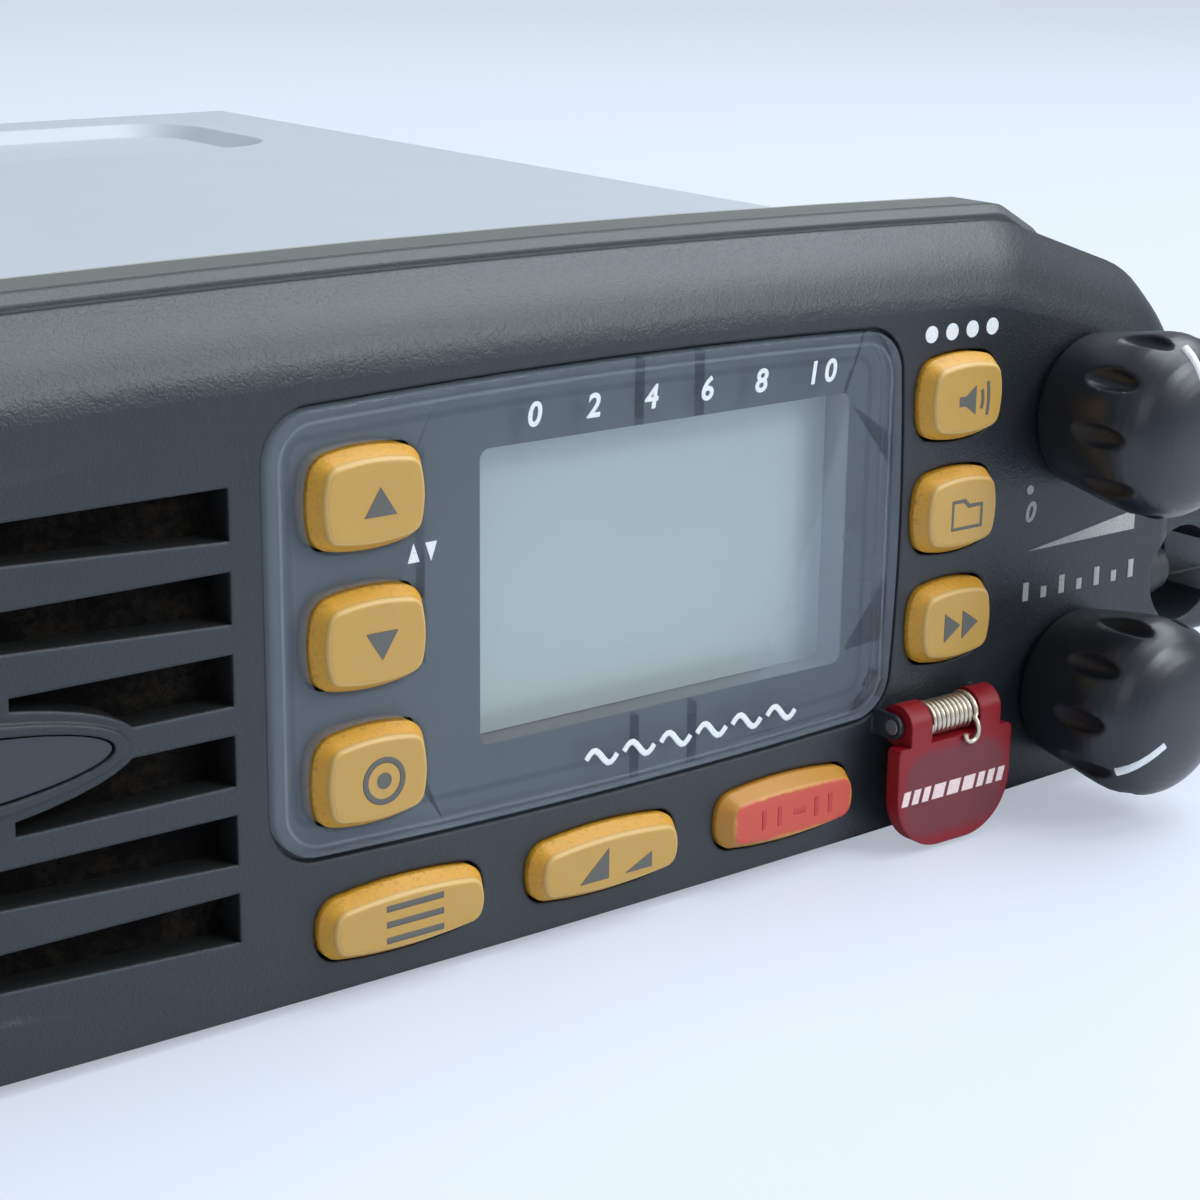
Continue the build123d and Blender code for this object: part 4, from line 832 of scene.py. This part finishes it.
def face_marks():
    """White marks on the lens and faded ones on the face."""
    glass_x = middle_of("lcd_glass")[0]
    column_x = middle_of("key_hailer")[0] + UPRIGHT_KEY_SHIFT[0]
    scale = numerals("0   2   4   6   8   10", 2.1, 0.15, 1.42, 0.07)
    printed("mark_scale", scale, at(glass_x + 0.35, LENS_TOP, 50.1), WHITE, "radio")
    waves = []
    for index in range(6):
        x = 4.4 * (index - 2.5)
        waves.append([(x + 0.36 * i, 0.75 * math.sin(math.pi * i / 5)) for i in range(11)])
    printed("mark_waves", strokes(waves, 0.62), at(glass_x + 0.15, LENS_TOP, 16.9), WHITE, "radio", 0.06)
    arrows = [[(-1.5, -0.8), (-0.3, -0.8), (-0.9, 0.9)], [(0.3, 0.8), (1.5, 0.8), (0.9, -0.9)]]
    printed("mark_channel", filled(arrows), at(-3.1, LENS_TOP, 39.6), WHITE, "radio")
    dots = [ring(0.85, 24, (2.8 * (i - 1.5), 0.0)) for i in range(4)]
    printed("mark_mode", filled(dots), at(column_x, FACE_TOP, 52.2), WHITE, "radio")
    printed("mark_off_dot", filled([ring(0.5, 20)]), at(72.3, FACE_TOP, 34.4), FADED, "radio")
    printed("mark_off", numerals("0", 2.0, 0.2, 1.0, 0.10), at(72.4, FACE_TOP, 31.9), FADED, "radio")
    scales_x = 80.6
    wedge = [(-8.2, -0.8), (8.2, -0.8), (8.2, 1.3)]
    printed("mark_volume", filled([wedge]), at(scales_x, FACE_TOP, 28.6), FADED, "radio")
    bars = [[(2.7 * i, -1.0), (2.7 * i, 1.0 if i % 2 else 0.2)] for i in range(-3, 4)]
    printed("mark_squelch", strokes(bars, 0.9), at(scales_x, FACE_TOP, 23.4), FADED, "radio", THIN)
    cover_x = middle_of("distress_cover")[0] - 0.1
    bars = slanted_bars(-7.1, (0.9,) * 3 + (1.6,) * 3 + (0.9,) * 3, 0.5)
    printed("mark_distress", bars, at(cover_x, COVER_TOP, 6.4), PINK, "distress_flap")


key_marks()
face_marks()


# ------------------------------------------------------------------ floor, light and camera
def studio():
    deselect()
    bpy.ops.mesh.primitive_plane_add(size=12.0, location=(0.0, 0.0, 0.0))
    floor = bpy.context.object
    floor.name = "floor"
    finish = Finish("floor_paper", Roughness=0.4)
    far = finish.axis("Y").step(-200.0, 1200.0)
    tone = finish.blend((0.70, 0.755, 0.86), (0.79, 0.865, 0.96), far)
    tone = finish.blend((0.83, 0.885, 0.98), tone, finish.axis("X").step(-1100.0, 150.0))
    # the paper is darker in front, where only reflections show it
    front = 1.0 - finish.axis("Y").step(-480.0, -150.0)
    finish.set(Base_Color=finish.blend(tone, (0.20, 0.215, 0.24), front))
    seen = finish.node("ShaderNodeLightPath")
    glow = finish.node("ShaderNodeEmission", {}, {"Color": tone, "Strength": 1.0})
    paper = Wire(finish, finish.surface.outputs[0])
    mixed = finish.node("ShaderNodeMixShader", {}, {0: seen * 0.55, 1: paper, 2: glow})
    finish.tree.links.new(mixed.socket, finish.output.inputs["Surface"])
    floor.data.materials.append(finish.material)

    world = bpy.data.worlds.new("studio")
    bpy.context.scene.world = world
    world.use_nodes = True
    sky = world.node_tree.nodes["Background"].inputs
    sky["Color"].default_value = (0.80, 0.88, 1.0, 1.0)
    sky["Strength"].default_value = 0.45

    softbox("overhead", (0.56, -0.10, 1.05), (0.0, -0.05, 0.03), (1.1, 1.0), 17.5, (0.90, 0.96, 1.0))
    softbox("front_left", (-0.9, -1.1, 0.7), (0.0, -0.05, 0.03), (0.8, 0.8), 2.2, (0.95, 0.97, 1.0))
    softbox("front", (0.57, -1.02, 0.88), (-0.03, -0.08, 0.05), (0.50, 0.34), 8.0, (0.90, 0.96, 1.0))
    softbox("front_right", (0.84, -1.08, 0.50), (0.0, -0.08, 0.03), (0.5, 0.3), 3.9, (0.92, 0.97, 1.0))


def softbox(name, place, target, size, power, colour):
    """Rectangular lamp at a place in metres, turned to its target."""
    lamp = bpy.data.lights.new(name, "AREA")
    lamp.shape = "RECTANGLE"
    lamp.size, lamp.size_y = size
    lamp.energy = power
    lamp.color = colour
    holder = bpy.data.objects.new(name, lamp)
    bpy.context.scene.collection.objects.link(holder)
    holder.location = place
    holder.rotation_euler = (Vector(target) - Vector(place)).to_track_quat("-Z", "Y").to_euler()


CAMERA_PLACE = (-122.2, -180.0, 98.4)
CAMERA_TURN = (37.6, 16.3, -0.69)      # degrees to the right of +Y, down, and leaning
SENSOR_WIDTH = 36.0
FOCAL_LENGTH = 78.09


def camera():
    yaw, pitch, roll = (math.radians(angle) for angle in CAMERA_TURN)
    forward = Vector((math.sin(yaw) * math.cos(pitch), math.cos(yaw) * math.cos(pitch), -math.sin(pitch)))
    right = Vector((math.cos(yaw), -math.sin(yaw), 0.0))
    down = forward.cross(right)
    right, down = (math.cos(roll) * right + math.sin(roll) * down,
                   -math.sin(roll) * right + math.cos(roll) * down)
    data = bpy.data.cameras.new("camera")
    data.sensor_width = SENSOR_WIDTH
    data.lens = FOCAL_LENGTH
    holder = bpy.data.objects.new("camera", data)
    bpy.context.scene.collection.objects.link(holder)
    turn = Matrix((right, -down, -forward)).transposed()
    holder.matrix_world = Matrix.Translation(at(*CAMERA_PLACE)) @ turn.to_4x4()
    bpy.context.scene.camera = holder


studio()
camera()
bpy.context.scene.view_settings.view_transform = "Standard"
